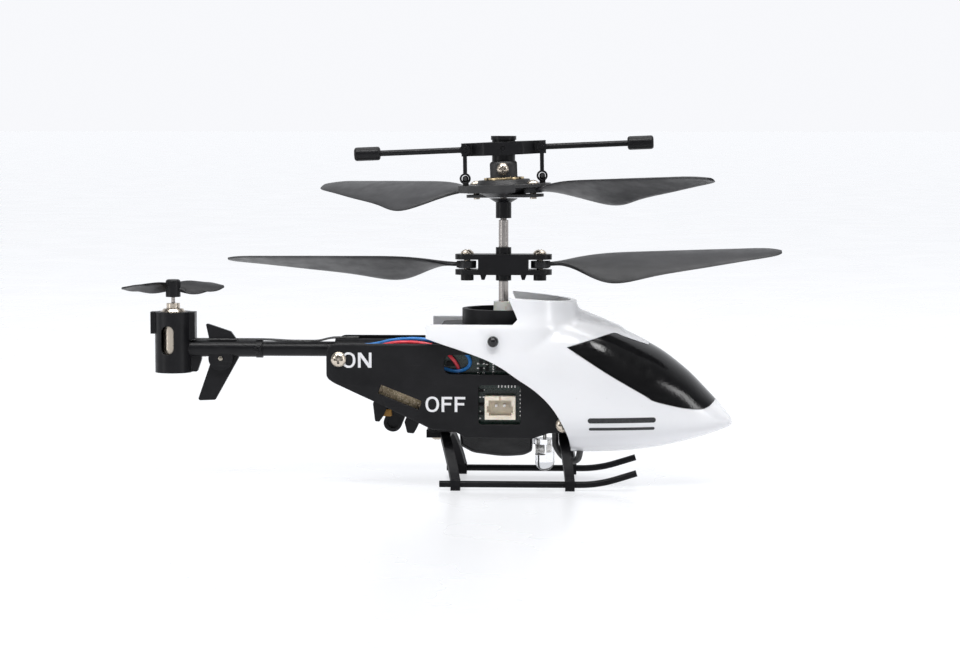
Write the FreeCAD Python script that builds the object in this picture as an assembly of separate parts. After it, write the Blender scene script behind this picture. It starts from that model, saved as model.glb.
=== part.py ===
import FreeCAD, Part
import math
import os

from FreeCAD import Vector

# Micro coaxial remote control helicopter, millimetres, +X towards the nose, +Y to its left, +Z up.
# The rotor axis is X = 0 in the sizes below; every part is shifted by AXIS_X when it is written,
# so that the finished model has its origin under the middle of its bounding box.

# ---- driving dimensions -------------------------------------------------------------------------
AXIS_X = 8.13               # where the rotor axis lies in the finished model

PANEL_FACE = 8.8            # half-width over the side panels
PANEL_WALL = 0.9
CANOPY_WALL = 0.9
CANOPY_REAR = -11.4         # rear end of the canopy's side arms

SHAFT_R = 0.5               # inner rotor shaft
TUBE_R = 0.75               # outer rotor shaft, a tube
TUBE_BORE = 0.55
FIT = 0.03                  # radial clearance of a running fit
SCREW_R = 0.5

GEAR_MODULE = 0.3
GEAR_TEETH = 36
PINION_TEETH = 9
GEAR_PITCH_R = GEAR_MODULE * GEAR_TEETH / 2
MOTOR_X = GEAR_MODULE * (GEAR_TEETH + PINION_TEETH) / 2 + 0.03
MOTOR_R = 3.0
MOTOR_Z = (9.3, 19.3)
INNER_GEAR_Z = (20.6, 21.8)
OUTER_GEAR_Z = (22.2, 23.4)
DECK_Z = (19.4, 20.2)
FLOOR_Z = (8.3, 9.1)
TOP_PLATE_Z = (23.9, 24.7)

ROTOR_TIP_R = 42.7
LAG_HINGE_R = 5.6           # lower blade hinges, from the rotor axis
LOWER_EYE_Z = 33.75
UPPER_HINGE_R = 6.4
UPPER_EYE_Z = 45.1
UPPER_AZIMUTH = -45.0       # first upper blade, from +X
HUB_PIVOT_Z = 48.5
FLYBAR_Z = 51.6
LINK_X = 5.9
LINK_FOOT_Z = 47.2
REST_TILT = -2.4            # flybar and upper hub at rest, about +Y
LINK_TILT = 0.295 * REST_TILT
FLYBAR_TIP = 23.0

BOOM_Z = 20.6
BOOM_R = 1.15
TAIL_X = -51.25             # tail motor axis
TAIL_MOTOR_R = 2.0
TAIL_ROTOR_R = 8.0
TAIL_ROTOR_TURN = 20.0      # blades at rest, from +X

SWITCH_X = -15.4
SWITCH_Z = 14.0
SWITCH_SLOPE = 21.8         # the switch runs down towards the nose
SWITCH_Y = -7.4

SKID_R = 0.5
SKID_Y = 9.75
SKID_Z = 0.95
REAR_FOOT_X = -6.9
REAR_BOW_X = -8.8
FRONT_FOOT_X = 10.45
FRONT_BOW_X = 9.3

X_AXIS = Vector(1, 0, 0)
Y_AXIS = Vector(0, 1, 0)
Z_AXIS = Vector(0, 0, 1)
ORIGIN = Vector(0, 0, 0)


# ---- shape helpers ------------------------------------------------------------------------------
def box(x, y, z):
    """Block between the given (low, high) pairs."""
    corner = Vector(x[0], y[0], z[0])
    return Part.makeBox(x[1] - x[0], y[1] - y[0], z[1] - z[0], corner)


def post(radius, x, y, z):
    """Upright cylinder from z[0] to z[1]."""
    return Part.makeCylinder(radius, z[1] - z[0], Vector(x, y, z[0]), Z_AXIS)


def rod(radius, start, axis, length):
    return Part.makeCylinder(radius, length, Vector(*start), axis)


def cross_rod(radius, x, z, y):
    """Cylinder along Y from y[0] to y[1]."""
    return Part.makeCylinder(radius, y[1] - y[0], Vector(x, y[0], z), Y_AXIS)


def cone(radius_low, radius_high, x, y, z):
    return Part.makeCone(radius_low, radius_high, z[1] - z[0], Vector(x, y, z[0]), Z_AXIS)


def rounded_wire(corners, place):
    """Closed wire through (a, b) or (a, b, radius) corners, each radius an arc; place maps to 3-D."""
    edges = []
    count = len(corners)
    last = None
    first = None
    for i in range(count):
        here = Vector(corners[i][0], corners[i][1], 0)
        before = Vector(corners[i - 1][0], corners[i - 1][1], 0)
        after = Vector(corners[(i + 1) % count][0], corners[(i + 1) % count][1], 0)
        radius = corners[i][2] if len(corners[i]) > 2 else 0
        if radius:
            back = (before - here).normalize()
            ahead = (after - here).normalize()
            half = back.getAngle(ahead) / 2
            reach = radius / math.tan(half)
            start = here + back * reach
            end = here + ahead * reach
            bisector = (back + ahead).normalize()
            middle = here + bisector * (radius / math.sin(half) - radius)
            if last is not None:
                edges.append(Part.LineSegment(place(last), place(start)).toShape())
            edges.append(Part.Arc(place(start), place(middle), place(end)).toShape())
        else:
            start = here
            end = here
            if last is not None:
                edges.append(Part.LineSegment(place(last), place(start)).toShape())
        if first is None:
            first = start
        last = end
    if last.distanceToPoint(first) > 1e-6:
        edges.append(Part.LineSegment(place(last), place(first)).toShape())
    return Part.Wire(edges)


def side_plate(corners, y):
    """Plate with an outline in X and Z, from y[0] to y[1]."""
    wire = rounded_wire(corners, lambda p: Vector(p.x, y[0], p.y))
    return Part.Face(wire).extrude(Vector(0, y[1] - y[0], 0))


def plan_plate(corners, z):
    """Plate with an outline in X and Y, from z[0] to z[1]."""
    wire = rounded_wire(corners, lambda p: Vector(p.x, p.y, z[0]))
    return Part.Face(wire).extrude(Vector(0, 0, z[1] - z[0]))


def fused(shapes):
    whole = shapes[0].fuse(shapes[1:]) if len(shapes) > 1 else shapes[0]
    return whole.removeSplitter()


def mirrored(shape):
    """The same shape on the other side of the helicopter."""
    return shape.mirror(ORIGIN, Y_AXIS)


def tilted(shape, centre, axis, degrees):
    turned = shape.copy()
    turned.rotate(centre, axis, degrees)
    return turned


def route_wire(points):
    """Straight runs joined by tangent arcs, each as large as its two runs allow."""
    corners = [Vector(*p) for p in points]
    edges = []
    last = corners[0]
    for i in range(1, len(corners) - 1):
        back = corners[i - 1] - corners[i]
        ahead = corners[i + 1] - corners[i]
        reach = 0.45 * min(back.Length, ahead.Length)
        back.normalize()
        ahead.normalize()
        half = back.getAngle(ahead) / 2
        radius = reach * math.tan(half)
        bisector = (back + ahead).normalize()
        start = corners[i] + back * reach
        end = corners[i] + ahead * reach
        middle = corners[i] + bisector * (radius / math.sin(half) - radius)
        edges.append(Part.LineSegment(last, start).toShape())
        edges.append(Part.Arc(start, middle, end).toShape())
        last = end
    edges.append(Part.LineSegment(last, corners[-1]).toShape())
    return Part.Wire(edges)


def routed_tube(points, radius):
    """Round lead or rod along a route."""
    path = route_wire(points)
    start = Vector(*points[0])
    heading = Vector(*points[1]) - start
    ring = Part.Wire(Part.makeCircle(radius, start, heading))
    return path.makePipeShell([ring], True, False)


def button_head(radius, height):
    """Pan head along +Z from Z = 0, with a cross recess."""
    dome = Part.makeSphere(radius * 1.25, Vector(0, 0, height - radius * 1.25))
    head = Part.makeCylinder(radius, height).common(dome)
    slot_half = radius * 0.14
    slot_long = radius * 0.6
    for x_half, y_half in ((slot_half, slot_long), (slot_long, slot_half)):
        slot = box((-x_half, x_half), (-y_half, y_half), (height * 0.45, height * 1.2))
        head = head.cut(slot)
    return head


def screw(head_r, head_h, shank_r, shank, seat, outward):
    """Screw whose head stands on `seat` and points along `outward`."""
    shape = button_head(head_r, head_h).fuse(Part.makeCylinder(shank_r, shank, Vector(0, 0, -shank)))
    turn = FreeCAD.Rotation(Z_AXIS, outward)
    shape.Placement = FreeCAD.Placement(Vector(*seat), turn)
    return shape


def smooth_loft(wires):
    return Part.makeLoft(wires, True, False)


def write(name, shapes):
    """Write one node as a STEP file; a list of pieces stays a group of separate solids."""
    pieces = shapes if isinstance(shapes, list) else [shapes]
    solids = []
    for piece in pieces:
        solids.extend(piece.Solids)
    for solid in solids:
        if not solid.isValid() or not solid.isClosed() or solid.Volume <= 0:
            raise RuntimeError(name + " is not a valid closed solid")
    node = solids[0] if len(solids) == 1 else Part.makeCompound(solids)
    node.translate(Vector(AXIS_X, 0, 0))
    node.exportStep("parts/" + name + ".step")


# ---- gears --------------------------------------------------------------------------------------
def toothed_disc(teeth, z, turn=0.0):
    """Spur gear with slim straight-flanked teeth, one of them centred on `turn` degrees."""
    pitch_r = GEAR_MODULE * teeth / 2
    root_r = pitch_r - 1.15 * GEAR_MODULE
    tip_r = pitch_r + 0.9 * GEAR_MODULE
    step = 2 * math.pi / teeth
    rim = []
    for i in range(teeth):
        centre = i * step + math.radians(turn)
        for radius, share in ((root_r, -0.31), (tip_r, -0.11), (tip_r, 0.11), (root_r, 0.31)):
            angle = centre + share * step
            rim.append(Vector(radius * math.cos(angle), radius * math.sin(angle), z[0]))
    face = Part.Face(Part.makePolygon(rim + [rim[0]]))
    return face.extrude(Vector(0, 0, z[1] - z[0]))


def main_gear(z, bore, hub_z):
    """Rotor gear with a lightened web and a hub."""
    gear = toothed_disc(GEAR_TEETH, z)
    web = (z[0] - 0.1, z[0] + 0.35)
    groove = post(GEAR_PITCH_R - 1.0, 0, 0, web).cut(post(2.0, 0, 0, web))
    hub = post(1.6, 0, 0, hub_z)
    return gear.cut(groove).fuse(hub).cut(post(bore, 0, 0, (hub_z[0] - 1, hub_z[1] + 1)))


# ---- main frame ---------------------------------------------------------------------------------
WALL_X = 10.3
WALL = 0.8
PANEL_SCREWS = ((-24.7, 19.75), (9.4, 9.95))
OUTRIGGER_X = (-2.4, 0.0)
CANOPY_PIN = (-1.2, 22.65)
GUARD_R = 6.35
GUARD_TOP = 27.05
BEARING_R = 1.53


def make_main_frame():
    """Chassis: floor, deck and top plate on two end walls, with the mast guard and the boom socket."""
    half = 4.7
    outer = WALL_X + WALL
    parts = [
        box((-outer, outer), (-5.0, 5.0), FLOOR_Z),
        box((-outer, outer), (-half, half), DECK_Z),
        plan_plate([(-9.4, -5.9, 2), (9.4, -5.9, 2), (9.4, 5.9, 2), (-9.4, 5.9, 2)], TOP_PLATE_Z),
        box((-outer, -WALL_X), (-5.6, 5.6), (FLOOR_Z[0], DECK_Z[1])),
        box((WALL_X, outer), (-5.6, 5.6), (FLOOR_Z[0], DECK_Z[1])),
        post(2.0, 0, 0, (16.4, DECK_Z[1] - 0.05)),
        post(2.3, 0, 0, (TOP_PLATE_Z[0], 25.6)),
    ]
    for side in (-1, 1):
        parts.append(post(MOTOR_R + 0.6, side * MOTOR_X, 0, (13.0, DECK_Z[0])))
        parts.append(box(sorted((side * 2.9, side * 4.1)), (-0.5, 0.5), (16.4, DECK_Z[0])))
        for y in (-5.0, 5.0):
            parts.append(box((side * 4.5 - 0.6, side * 4.5 + 0.6), (y - 0.6, y + 0.6), (DECK_Z[0], TOP_PLATE_Z[0])))
        parts.append(box((side * 4.5 - 0.6, side * 4.5 + 0.6), sorted((side * 4.0, side * 5.6)), DECK_Z))
        parts.append(box(OUTRIGGER_X, sorted((side * 5.5, side * 7.6)), TOP_PLATE_Z))
        parts.append(box(OUTRIGGER_X, sorted((side * 6.1, side * 7.6)), (21.6, TOP_PLATE_Z[1])))
        parts.append(box(OUTRIGGER_X, sorted((side * 7.0, side * 8.65)), (21.6, 23.5)))
    for x in (-4.5, 4.5):
        for y in (-1, 1):
            parts.append(box((x - 0.6, x + 0.6), sorted((y * 4.4, y * 5.6)), DECK_Z))
    guard = post(GUARD_R, 0, 0, (TOP_PLATE_Z[0], GUARD_TOP)).cut(post(GUARD_R - 0.8, 0, 0, (20, 30)))
    parts.append(guard)
    parts.append(rod(1.6, (-26.0, 0, BOOM_Z), X_AXIS, 15.0))
    parts.append(box((-20.0, -WALL_X), (-1.6, 1.6), (18.4, BOOM_Z)))
    parts.append(side_plate([(-20.0, 18.6), (-20.0, 16.2), (-18.2, 11.6), (-12.6, 10.2), (-11.0, 10.2), (-11.0, 18.6)],
                            (-3.4, -2.6)))
    parts.append(box((-20.0, -WALL_X), (-3.4, 0), (18.0, 18.8)))
    for side in (-1, 1):
        x, z = PANEL_SCREWS[0]
        rear_boss = cross_rod(1.5, x, z, (1.2, PANEL_FACE - PANEL_WALL))
        parts.append(rear_boss if side > 0 else mirrored(rear_boss))
        x, z = PANEL_SCREWS[1]
        front_boss = cross_rod(1.4, x, z, (3.9, PANEL_FACE - PANEL_WALL))
        parts.append(front_boss if side > 0 else mirrored(front_boss))
    frame = fused(parts)
    cuts = [
        rod(BOOM_R, (-27.0, 0, BOOM_Z), X_AXIS, 10.0),
        post(1.3, 0, 0, (16.0, 19.0)),
        post(SHAFT_R + 0.3, 0, 0, (15.0, 21.0)),
        post(BEARING_R, 0, 0, (23.0, 26.0)),
    ]
    for side in (-1, 1):
        cuts.append(post(MOTOR_R, side * MOTOR_X, 0, (12.0, DECK_Z[0])))
        cuts.append(post(1.1, side * MOTOR_X, 0, (19.0, 21.0)))
        cuts.append(cross_rod(0.42, CANOPY_PIN[0], CANOPY_PIN[1], sorted((side * 6.0, side * 9.0))))
        for x, z in PANEL_SCREWS:
            cuts.append(cross_rod(SCREW_R, x, z, sorted((side * 3.5, side * 8.0))))
        cuts.append(post(0.45, side * WALL_X, 0, (FLOOR_Z[0] - 1, FLOOR_Z[0] + 2.0)))
    for cut in cuts:
        frame = frame.cut(cut)
    return frame


# ---- side panels --------------------------------------------------------------------------------
PANEL_OUTLINE = [
    (-26.6, 22.1, 1.5), (-26.6, 16.9, 1.2), (-25.4, 16.1, 1.5), (-18.7, 13.0), (-12.4, 10.0, 2.0),
    (-10.6, 9.1, 1.0), (-7.1, 8.85, 0.6), (-5.4, 7.85, 1.0), (4.7, 7.75, 1.5), (7.2, 8.6, 1.0),
    (10.6, 8.7, 1.0), (10.8, 12.0, 2.0), (8.6, 21.2, 1.0), (-5.9, 21.2, 1.0), (-7.7, 22.1, 1.0),
]


FACET_LEAN = 11.0           # how far the bevelled corner leans inwards
FACET_FALL = 5.1            # how far its upper edge falls towards the nose


def make_side_panel():
    """Right-hand panel without openings: a plate with softened edges and a bevelled lower rear corner."""
    outer = side_plate(PANEL_OUTLINE, (-PANEL_FACE, -PANEL_FACE + PANEL_WALL))
    long_edges = [e for e in outer.Edges if abs(e.BoundBox.YMin + PANEL_FACE) < 1e-6 and e.BoundBox.YLength < 1e-6]
    outer = outer.makeFillet(0.3, long_edges)
    facet = Part.makeBox(13.0, 2.0, 6.0, Vector(-3.0, -2.0, -6.0))
    facet.rotate(ORIGIN, X_AXIS, FACET_LEAN)
    facet.rotate(ORIGIN, Y_AXIS, FACET_FALL)
    facet.translate(Vector(-25.4, -PANEL_FACE, 16.2))
    reach = side_plate([(-28.0, 17.0), (-18.7, 17.0), (-18.7, 15.6), (-17.0, 11.0), (-28.0, 11.0)], (-12.0, -6.0))
    return outer.cut(facet.common(reach))


def make_right_panel():
    panel = make_side_panel()
    y = (-10.0, -6.0)
    panel = panel.cut(side_plate([(-3.5, 9.9, 0.5), (2.95, 9.9, 0.5), (2.95, 15.9, 0.5), (-3.5, 15.9, 0.5)], y))
    panel = panel.cut(side_plate([(-8.7, 17.5, 1.0), (2.6, 17.5, 0.4), (2.6, 20.5, 0.4), (-8.7, 20.5, 1.0)], y))
    slot = Part.makeBox(6.7, 4.0, 1.45, Vector(-3.35, -10.0, -0.72))
    panel = panel.cut(on_switch(slot))
    for x, z in PANEL_SCREWS:
        panel = panel.cut(cross_rod(SCREW_R + FIT, x, z, y))
    return panel


def make_left_panel():
    panel = mirrored(make_side_panel())
    for x, z in PANEL_SCREWS:
        panel = panel.cut(cross_rod(SCREW_R + FIT, x, z, (6.0, 10.0)))
    return panel


# ---- power switch -------------------------------------------------------------------------------
def on_switch(shape):
    """Place a shape drawn level about the switch's centre."""
    placed = shape.copy()
    placed.rotate(ORIGIN, Y_AXIS, SWITCH_SLOPE)
    placed.translate(Vector(SWITCH_X, 0, SWITCH_Z))
    return placed


def make_switch_body():
    """Moulded switch base: two pairs of end cheeks round the slot that the knob slides in."""
    left = [(-3.5, -1.2), (-3.5, -2.6), (-2.2, -5.0, 0.3), (-1.55, -4.8, 0.2), (-1.3, -3.6), (-1.3, -1.2)]
    right = [(2.0, -1.2), (2.0, -3.4), (3.0, -4.8, 0.3), (4.0, -4.5, 0.3), (4.2, -1.2)]
    parts = [box((-3.5, 4.2), (-7.4, -3.4), (-2.2, -1.2))]
    for y in ((-7.4, -6.5), (-4.2, -3.4)):
        parts.append(side_plate(left, y))
        parts.append(side_plate(right, y))
    return on_switch(fused(parts).cut(box((-1.2, 4.05), (-6.3, -4.4), (-3, 0))))


def make_switch_knob():
    """Rounded finger tongue with a ribbed tip."""
    outline = [(-1.05, -1.45), (-1.05, -5.7, 1.35), (1.75, -5.7, 1.35), (1.75, -1.45)]
    knob = side_plate(outline, (-6.2, -4.5))
    hollow = side_plate([(-0.55, -3.0), (-0.55, -5.15, 0.85), (1.25, -5.15, 0.85), (1.25, -3.0)], (-6.6, -5.7))
    return on_switch(knob.cut(hollow))


def make_switch_can():
    can = box((-3.4, 3.6), (-6.85, -3.9), (-1.2, 1.7))
    return on_switch(can.makeFillet(0.25, [e for e in can.Edges if e.BoundBox.YLength > 2]))


def make_switch_board():
    board = box((-3.1, 3.2), (-7.45, -6.85), (-1.05, 1.1))
    for x in (-3.1, 3.2):
        board = board.cut(cross_rod(0.35, x, -0.3, (-8, -6)))
    return on_switch(board)


# ---- circuit board ------------------------------------------------------------------------------
BOARD_Y = (-6.6, -5.8)
SOCKET_X = (-2.5, 2.15)
SOCKET_Z = (10.65, 14.2)
PIN_X = (-0.8, 0.45)


def make_circuit_board():
    corners = [(-9.6, 9.3, 0.5), (7.2, 9.3, 0.5), (7.2, 20.9, 0.5), (-9.6, 20.9, 0.5)]
    return side_plate(corners, BOARD_Y)


def make_board_chips():
    """Driver chips and small parts soldered to the outer face."""
    face = BOARD_Y[0]
    chips = [
        box((-6.9, -4.0), (face - 0.9, face), (11.0, 14.6)),
        box((-0.9, 2.4), (face - 0.8, face), (18.0, 19.4)),
        box((-8.4, -7.2), (face - 0.5, face), (18.6, 19.4)),
    ]
    for i in range(6):
        chips.append(box((-0.6 + 0.5 * i, -0.35 + 0.5 * i), (face - 0.3, face), (15.9, 16.6)))
    for z in (11.4, 12.8, 14.9):
        chips.append(box((-3.5, -2.75), (face - 0.45, face), (z - 0.2, z + 0.2)))
    for x in (-3.4, -2.5):
        for z in (18.2, 19.3):
            chips.append(box((x, x + 0.55), (face - 0.4, face), (z - 0.3, z + 0.3)))
    return chips


def make_charging_socket():
    """Two-pin shrouded header with key notches."""
    mouth = -PANEL_FACE + 0.1
    shell = box(SOCKET_X, (mouth, BOARD_Y[0]), SOCKET_Z)
    cavity = box((-1.9, 1.55), (mouth - 1, mouth + 1.7), (11.2, 13.6))
    shell = shell.cut(cavity)
    shell = shell.cut(box((-2.15, 1.8), (mouth - 1, mouth + 1.7), (11.7, 12.7)))
    shell = shell.cut(box((-0.35, 0.0), (mouth - 1, mouth + 0.9), (13.0, 15.0)))
    return shell


def make_socket_pins():
    return [cross_rod(0.23, x, 12.75, (-PANEL_FACE + 0.6, -PANEL_FACE + 1.8)) for x in PIN_X]


# ---- canopy -------------------------------------------------------------------------------------
# Each station along X gives the roof height, belly height, half-width and waist height.
CANOPY_STATIONS = [
    (-12.5, 29.4, 5.0, 10.35, 13.0),
    (-4.0, 29.5, 5.2, 10.4, 13.0),
    (4.0, 29.5, 5.5, 10.4, 12.8),
    (9.0, 29.0, 5.6, 10.4, 12.5),
    (11.2, 28.2, 5.5, 10.35, 12.3),
    (12.8, 26.7, 5.5, 10.25, 12.1),
    (15.5, 25.3, 5.5, 9.9, 11.8),
    (19.0, 23.6, 5.55, 9.2, 11.4),
    (23.0, 21.2, 5.9, 8.15, 11.0),
    (27.0, 18.5, 6.45, 6.8, 10.6),
    (30.5, 15.4, 7.2, 5.3, 10.2),
    (33.0, 12.9, 8.1, 3.8, 9.9),
    (34.6, 11.0, 8.8, 2.3, 9.7),
    (35.4, 9.9, 9.2, 0.9, 9.55),
]
SECTION_POINTS = 28


def shoulder_power(x):
    """Boxy over the mast, rounder towards the nose."""
    share = min(max((22.0 - x) / 14.0, 0.0), 1.0)
    return 2.05 + 1.45 * share * share * (3 - 2 * share)


def canopy_section(station, inset):
    x, roof, belly, half, waist = station
    roof -= inset
    belly += inset
    half -= inset
    power = shoulder_power(x)
    points = []
    for i in range(SECTION_POINTS):
        angle = 2 * math.pi * (i + 0.5) / SECTION_POINTS
        rise = math.sin(angle)
        across = math.cos(angle)
        shape = power if rise > 0 else 2.6
        height = roof - waist if rise > 0 else waist - belly
        y = math.copysign(abs(across) ** (2 / shape), across) * half
        z = waist + math.copysign(abs(rise) ** (2 / shape), rise) * height
        points.append(Vector(x, y, z))
    curve = Part.BSplineCurve()
    curve.interpolate(points, PeriodicFlag=True)
    return Part.Wire(curve.toShape())


def canopy_body(inset):
    stations = list(CANOPY_STATIONS)
    if inset:
        rear = (stations[0][0] - 0.5,) + stations[0][1:]
        stations = [rear] + [s for s in stations[1:] if s[3] > 2.5 * inset]
    return Part.makeLoft([canopy_section(station, inset) for station in stations], True, True)


LOWER_EDGE = [
    (-11.4, 23.05), (-8.8, 22.14), (-6.4, 21.36), (-2.4, 19.9), (0.1, 18.6), (2.55, 16.9), (4.7, 15.5),
    (6.55, 13.9), (8.0, 12.2), (9.3, 10.0), (10.3, 7.4), (10.6, 4.0),
]
WINDOW_OUTLINE = [
    (9.9, 21.75, 0.3), (16.0, 23.15, 1.5), (16.9, 23.55, 0.2), (17.5, 23.1, 0.5), (22.3, 21.3, 0.3),
    (25.0, 25.0), (37.0, 14.0), (32.7, 12.9, 0.5), (31.3, 12.1, 1.5), (29.6, 11.8, 2.0),
    (22.6, 13.6, 1.0), (21.6, 14.6, 1.0),
]


def window_region(gap):
    """Prism through the canopy where the windscreen lies; gap shrinks its outline."""
    wire = rounded_wire(WINDOW_OUTLINE, lambda p: Vector(p.x, 0, p.y))
    if gap:
        wire = wire.makeOffset2D(-gap)
    return Part.Face(wire).extrude(Vector(0, 24, 0)).translated(Vector(0, -12, 0))


def make_canopy_shell():
    """Nose shell with two side arms, open behind and at the crown."""
    shell = canopy_body(0).cut(canopy_body(CANOPY_WALL))
    curve = Part.BSplineCurve()
    curve.interpolate([Vector(x, 0, z) for x, z in LOWER_EDGE])
    ends = [(10.6, 0.0), (40.0, 0.0), (40.0, 34.0), (1.1, 34.0), (1.15, 28.9), (2.45, 25.9), (1.7, 25.1),
            (CANOPY_REAR, 25.1), LOWER_EDGE[0]]
    corners = [Vector(LOWER_EDGE[-1][0], 0, LOWER_EDGE[-1][1])] + [Vector(x, 0, z) for x, z in ends]
    edges = [curve.toShape()]
    for a, b in zip(corners, corners[1:]):
        edges.append(Part.LineSegment(a, b).toShape())
    keep = Part.Face(Part.Wire(edges)).extrude(Vector(0, 24, 0)).translated(Vector(0, -12, 0))
    shell = shell.common(keep)
    crown = Part.makeBox(20, 24, 5, Vector(0, -12, 0))
    crown.rotate(ORIGIN, Y_AXIS, math.degrees(math.atan2(0.75, 9.5)))
    crown.translate(Vector(1.1, 0, 28.75))
    return shell.cut(crown)


def make_canopy(shell):
    canopy = shell.cut(window_region(0))
    for side in (-1, 1):
        y = sorted((side * 6.0, side * 12.0))
        canopy = canopy.cut(cross_rod(0.42, CANOPY_PIN[0], CANOPY_PIN[1], y))
        canopy = canopy.cut(cross_rod(1.5, PANEL_SCREWS[1][0], PANEL_SCREWS[1][1], y))
    canopy = canopy.cut(post(0.62, NOSE_LEAD[-1][0], NOSE_LEAD[-1][1], (4.0, 8.0)))
    return max(canopy.Solids, key=lambda s: s.Volume)


def make_windscreen(shell):
    screen = shell.common(window_region(0.06))
    return max(screen.Solids, key=lambda s: s.Volume)


def make_canopy_pins():
    pins = []
    for side in (-1, 1):
        x, z = CANOPY_PIN
        shank = cross_rod(0.4, x, z, sorted((side * 6.1, side * 10.2)))
        ball = Part.makeSphere(0.85, Vector(x, side * 10.25, z))
        cap = ball.common(box((x - 1, x + 1), sorted((side * 10.12, side * 11.2)), (z - 1, z + 1)))
        pins.append(shank.fuse(cap))
    return pins


# ---- leads and small electric parts -------------------------------------------------------------
BLUE_LEAD = [
    (-8.9, -6.88, 18.3), (-7.4, -7.3, 17.9), (-5.9, -7.4, 17.95), (-4.75, -7.35, 18.75), (-4.85, -7.1, 19.9),
    (-6.2, -6.7, 21.3), (-9.2, -6.1, 22.3), (-13.0, -5.7, 22.75), (-16.6, -5.2, 22.5), (-19.6, -4.4, 21.7),
    (-22.4, -3.0, 21.3),
]
RED_LEAD = [
    (-6.5, -6.9, 17.9), (-6.75, -7.3, 18.9), (-7.7, -7.4, 20.1), (-9.4, -6.8, 21.5), (-12.6, -6.4, 22.2),
    (-16.4, -5.8, 22.15), (-19.8, -5.0, 21.2), (-22.4, -3.6, 20.5),
]
NOSE_LEAD = [
    (8.1, -4.2, 8.3), (8.1, -4.2, 6.3), (8.9, -4.3, 4.9), (10.3, -4.4, 3.8), (11.6, -4.4, 4.0), (11.9, -4.4, 5.3),
    (11.9, -4.4, 6.2),
]
LEAD_R = 0.27


def make_tail_leads():
    """Two enamelled wires laid along the top of the boom."""
    leads = []
    for y in (-0.62, 0.62):
        route = [(-47.75, y, 22.04), (-36.6, y, 22.04), (-33.2, y, 21.82), (-28.6, y, 21.82), (-26.7, y, 22.36),
                 (-22.4, y, 22.4)]
        leads.append(routed_tube(route, 0.13))
    return leads


def make_led():
    """Clear 3 mm lamp, dome down."""
    x = 6.4
    body = post(1.5, x, 0, (3.3, 6.8)).fuse(Part.makeSphere(1.5, Vector(x, 0, 3.3)))
    flange = post(1.72, x, 0, (6.0, 6.8)).cut(box((x + 1.4, x + 2.5), (-2, 2), (5, 8)))
    return body.fuse(flange).removeSplitter()


def make_battery():
    """Wrapped flat cell with a bowed underside."""
    outline = [(-6.5, 8.2), (-6.5, 6.2, 0.4), (-4.5, 5.1, 3.0), (0.2, 4.5, 14.0), (3.4, 4.75, 3.0), (4.6, 5.4, 0.6),
               (4.6, 8.2)]
    cell = side_plate(outline, (-5.0, 5.0))
    ends = [e for e in cell.Edges if e.BoundBox.YLength < 1e-6 and e.BoundBox.ZMin < 8.0]
    return cell.makeFillet(0.7, ends)


def make_infrared_receiver():
    """Dark side-looking receiver bulb above the board's front corner."""
    shell = box((3.3, 6.3), (-7.4, BOARD_Y[0]), (17.4, 20.2))
    eye = Part.makeSphere(0.8, Vector(4.8, -7.05, 18.9))
    return shell.fuse(eye.common(box((3.5, 6.0), (-9.0, BOARD_Y[0]), (17.6, 20.1))))


# ---- tail ---------------------------------------------------------------------------------------
STUB_R = 1.3
STUB_END = -37.3
BOOM_TIP = -40.6
FIN_PIN = (-43.8, 19.1)


def make_tail_motor_mount():
    """Motor pot with a stub tube for the boom, a gusset and two ears that hold the fin."""
    pot = post(2.85, TAIL_X, 0, (16.9, 26.3))
    parts = [
        pot,
        box((-54.7, -53.2), (-0.9, 0.9), (22.9, 26.3)),
        box((-49.5, -47.75), (-1.1, 1.1), (22.0, 26.3)),
        rod(STUB_R, (TAIL_X + 2.3, 0, BOOM_Z), X_AXIS, STUB_END - TAIL_X - 2.3),
        side_plate([(-49.5, 20.0), (-49.5, 17.0), (-47.5, 17.0, 0.3), (-46.85, 18.9), (-46.85, 20.0)], (-0.5, 0.5)),
        cross_rod(1.9, FIN_PIN[0], FIN_PIN[1], (-1.0, 1.0)),
    ]
    ring = rod(STUB_R + 0.12, (STUB_END - 1.0, 0, BOOM_Z), X_AXIS, 1.0)
    mount = fused(parts + [ring])
    mount = mount.cut(post(TAIL_MOTOR_R, TAIL_X, 0, (17.9, 27.0)))
    mount = mount.cut(post(0.8, TAIL_X, 0, (16.0, 19.0)))
    slot = side_plate([(-52.8, 19.75, 0.98), (-50.8, 19.75, 0.98), (-50.8, 24.2, 0.98), (-52.8, 24.2, 0.98)], (-4.0, 0))
    mount = mount.cut(slot)
    mount = mount.cut(rod(BOOM_R, (BOOM_TIP, 0, BOOM_Z), X_AXIS, 5.0))
    mount = mount.cut(box((-46.2, -41.0), (-0.4, 0.4), (16.0, 24.0)))
    return mount.cut(cross_rod(0.4, FIN_PIN[0], FIN_PIN[1], (-2, 2)))


def make_tail_fin():
    """Flat swept fin, upper and lower blades in one plate."""
    outline = [
        (-46.15, 24.45, 0.15), (-45.7, 24.4, 0.15), (-42.25, 23.25, 0.4), (-41.1, 21.6, 0.3), (-41.05, 19.2, 0.2),
        (-44.75, 12.6, 0.3), (-47.5, 12.5, 0.3), (-45.3, 18.8, 0.3), (-45.6, 21.9, 0.3),
    ]
    fin = side_plate(outline, (-0.38, 0.38))
    return fin.cut(cross_rod(0.4, FIN_PIN[0], FIN_PIN[1], (-2, 2)))


def make_tail_motor_can():
    """Four millimetre can with its bearing boss."""
    parts = [
        post(TAIL_MOTOR_R, TAIL_X, 0, (18.0, 26.35)),
        cone(1.8, 1.55, TAIL_X, 0, (26.35, 26.75)),
        post(1.05, TAIL_X, 0, (26.7, 27.6)),
    ]
    return fused(parts).cut(post(0.3 + FIT, TAIL_X, 0, (20.0, 28.0)))


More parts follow.
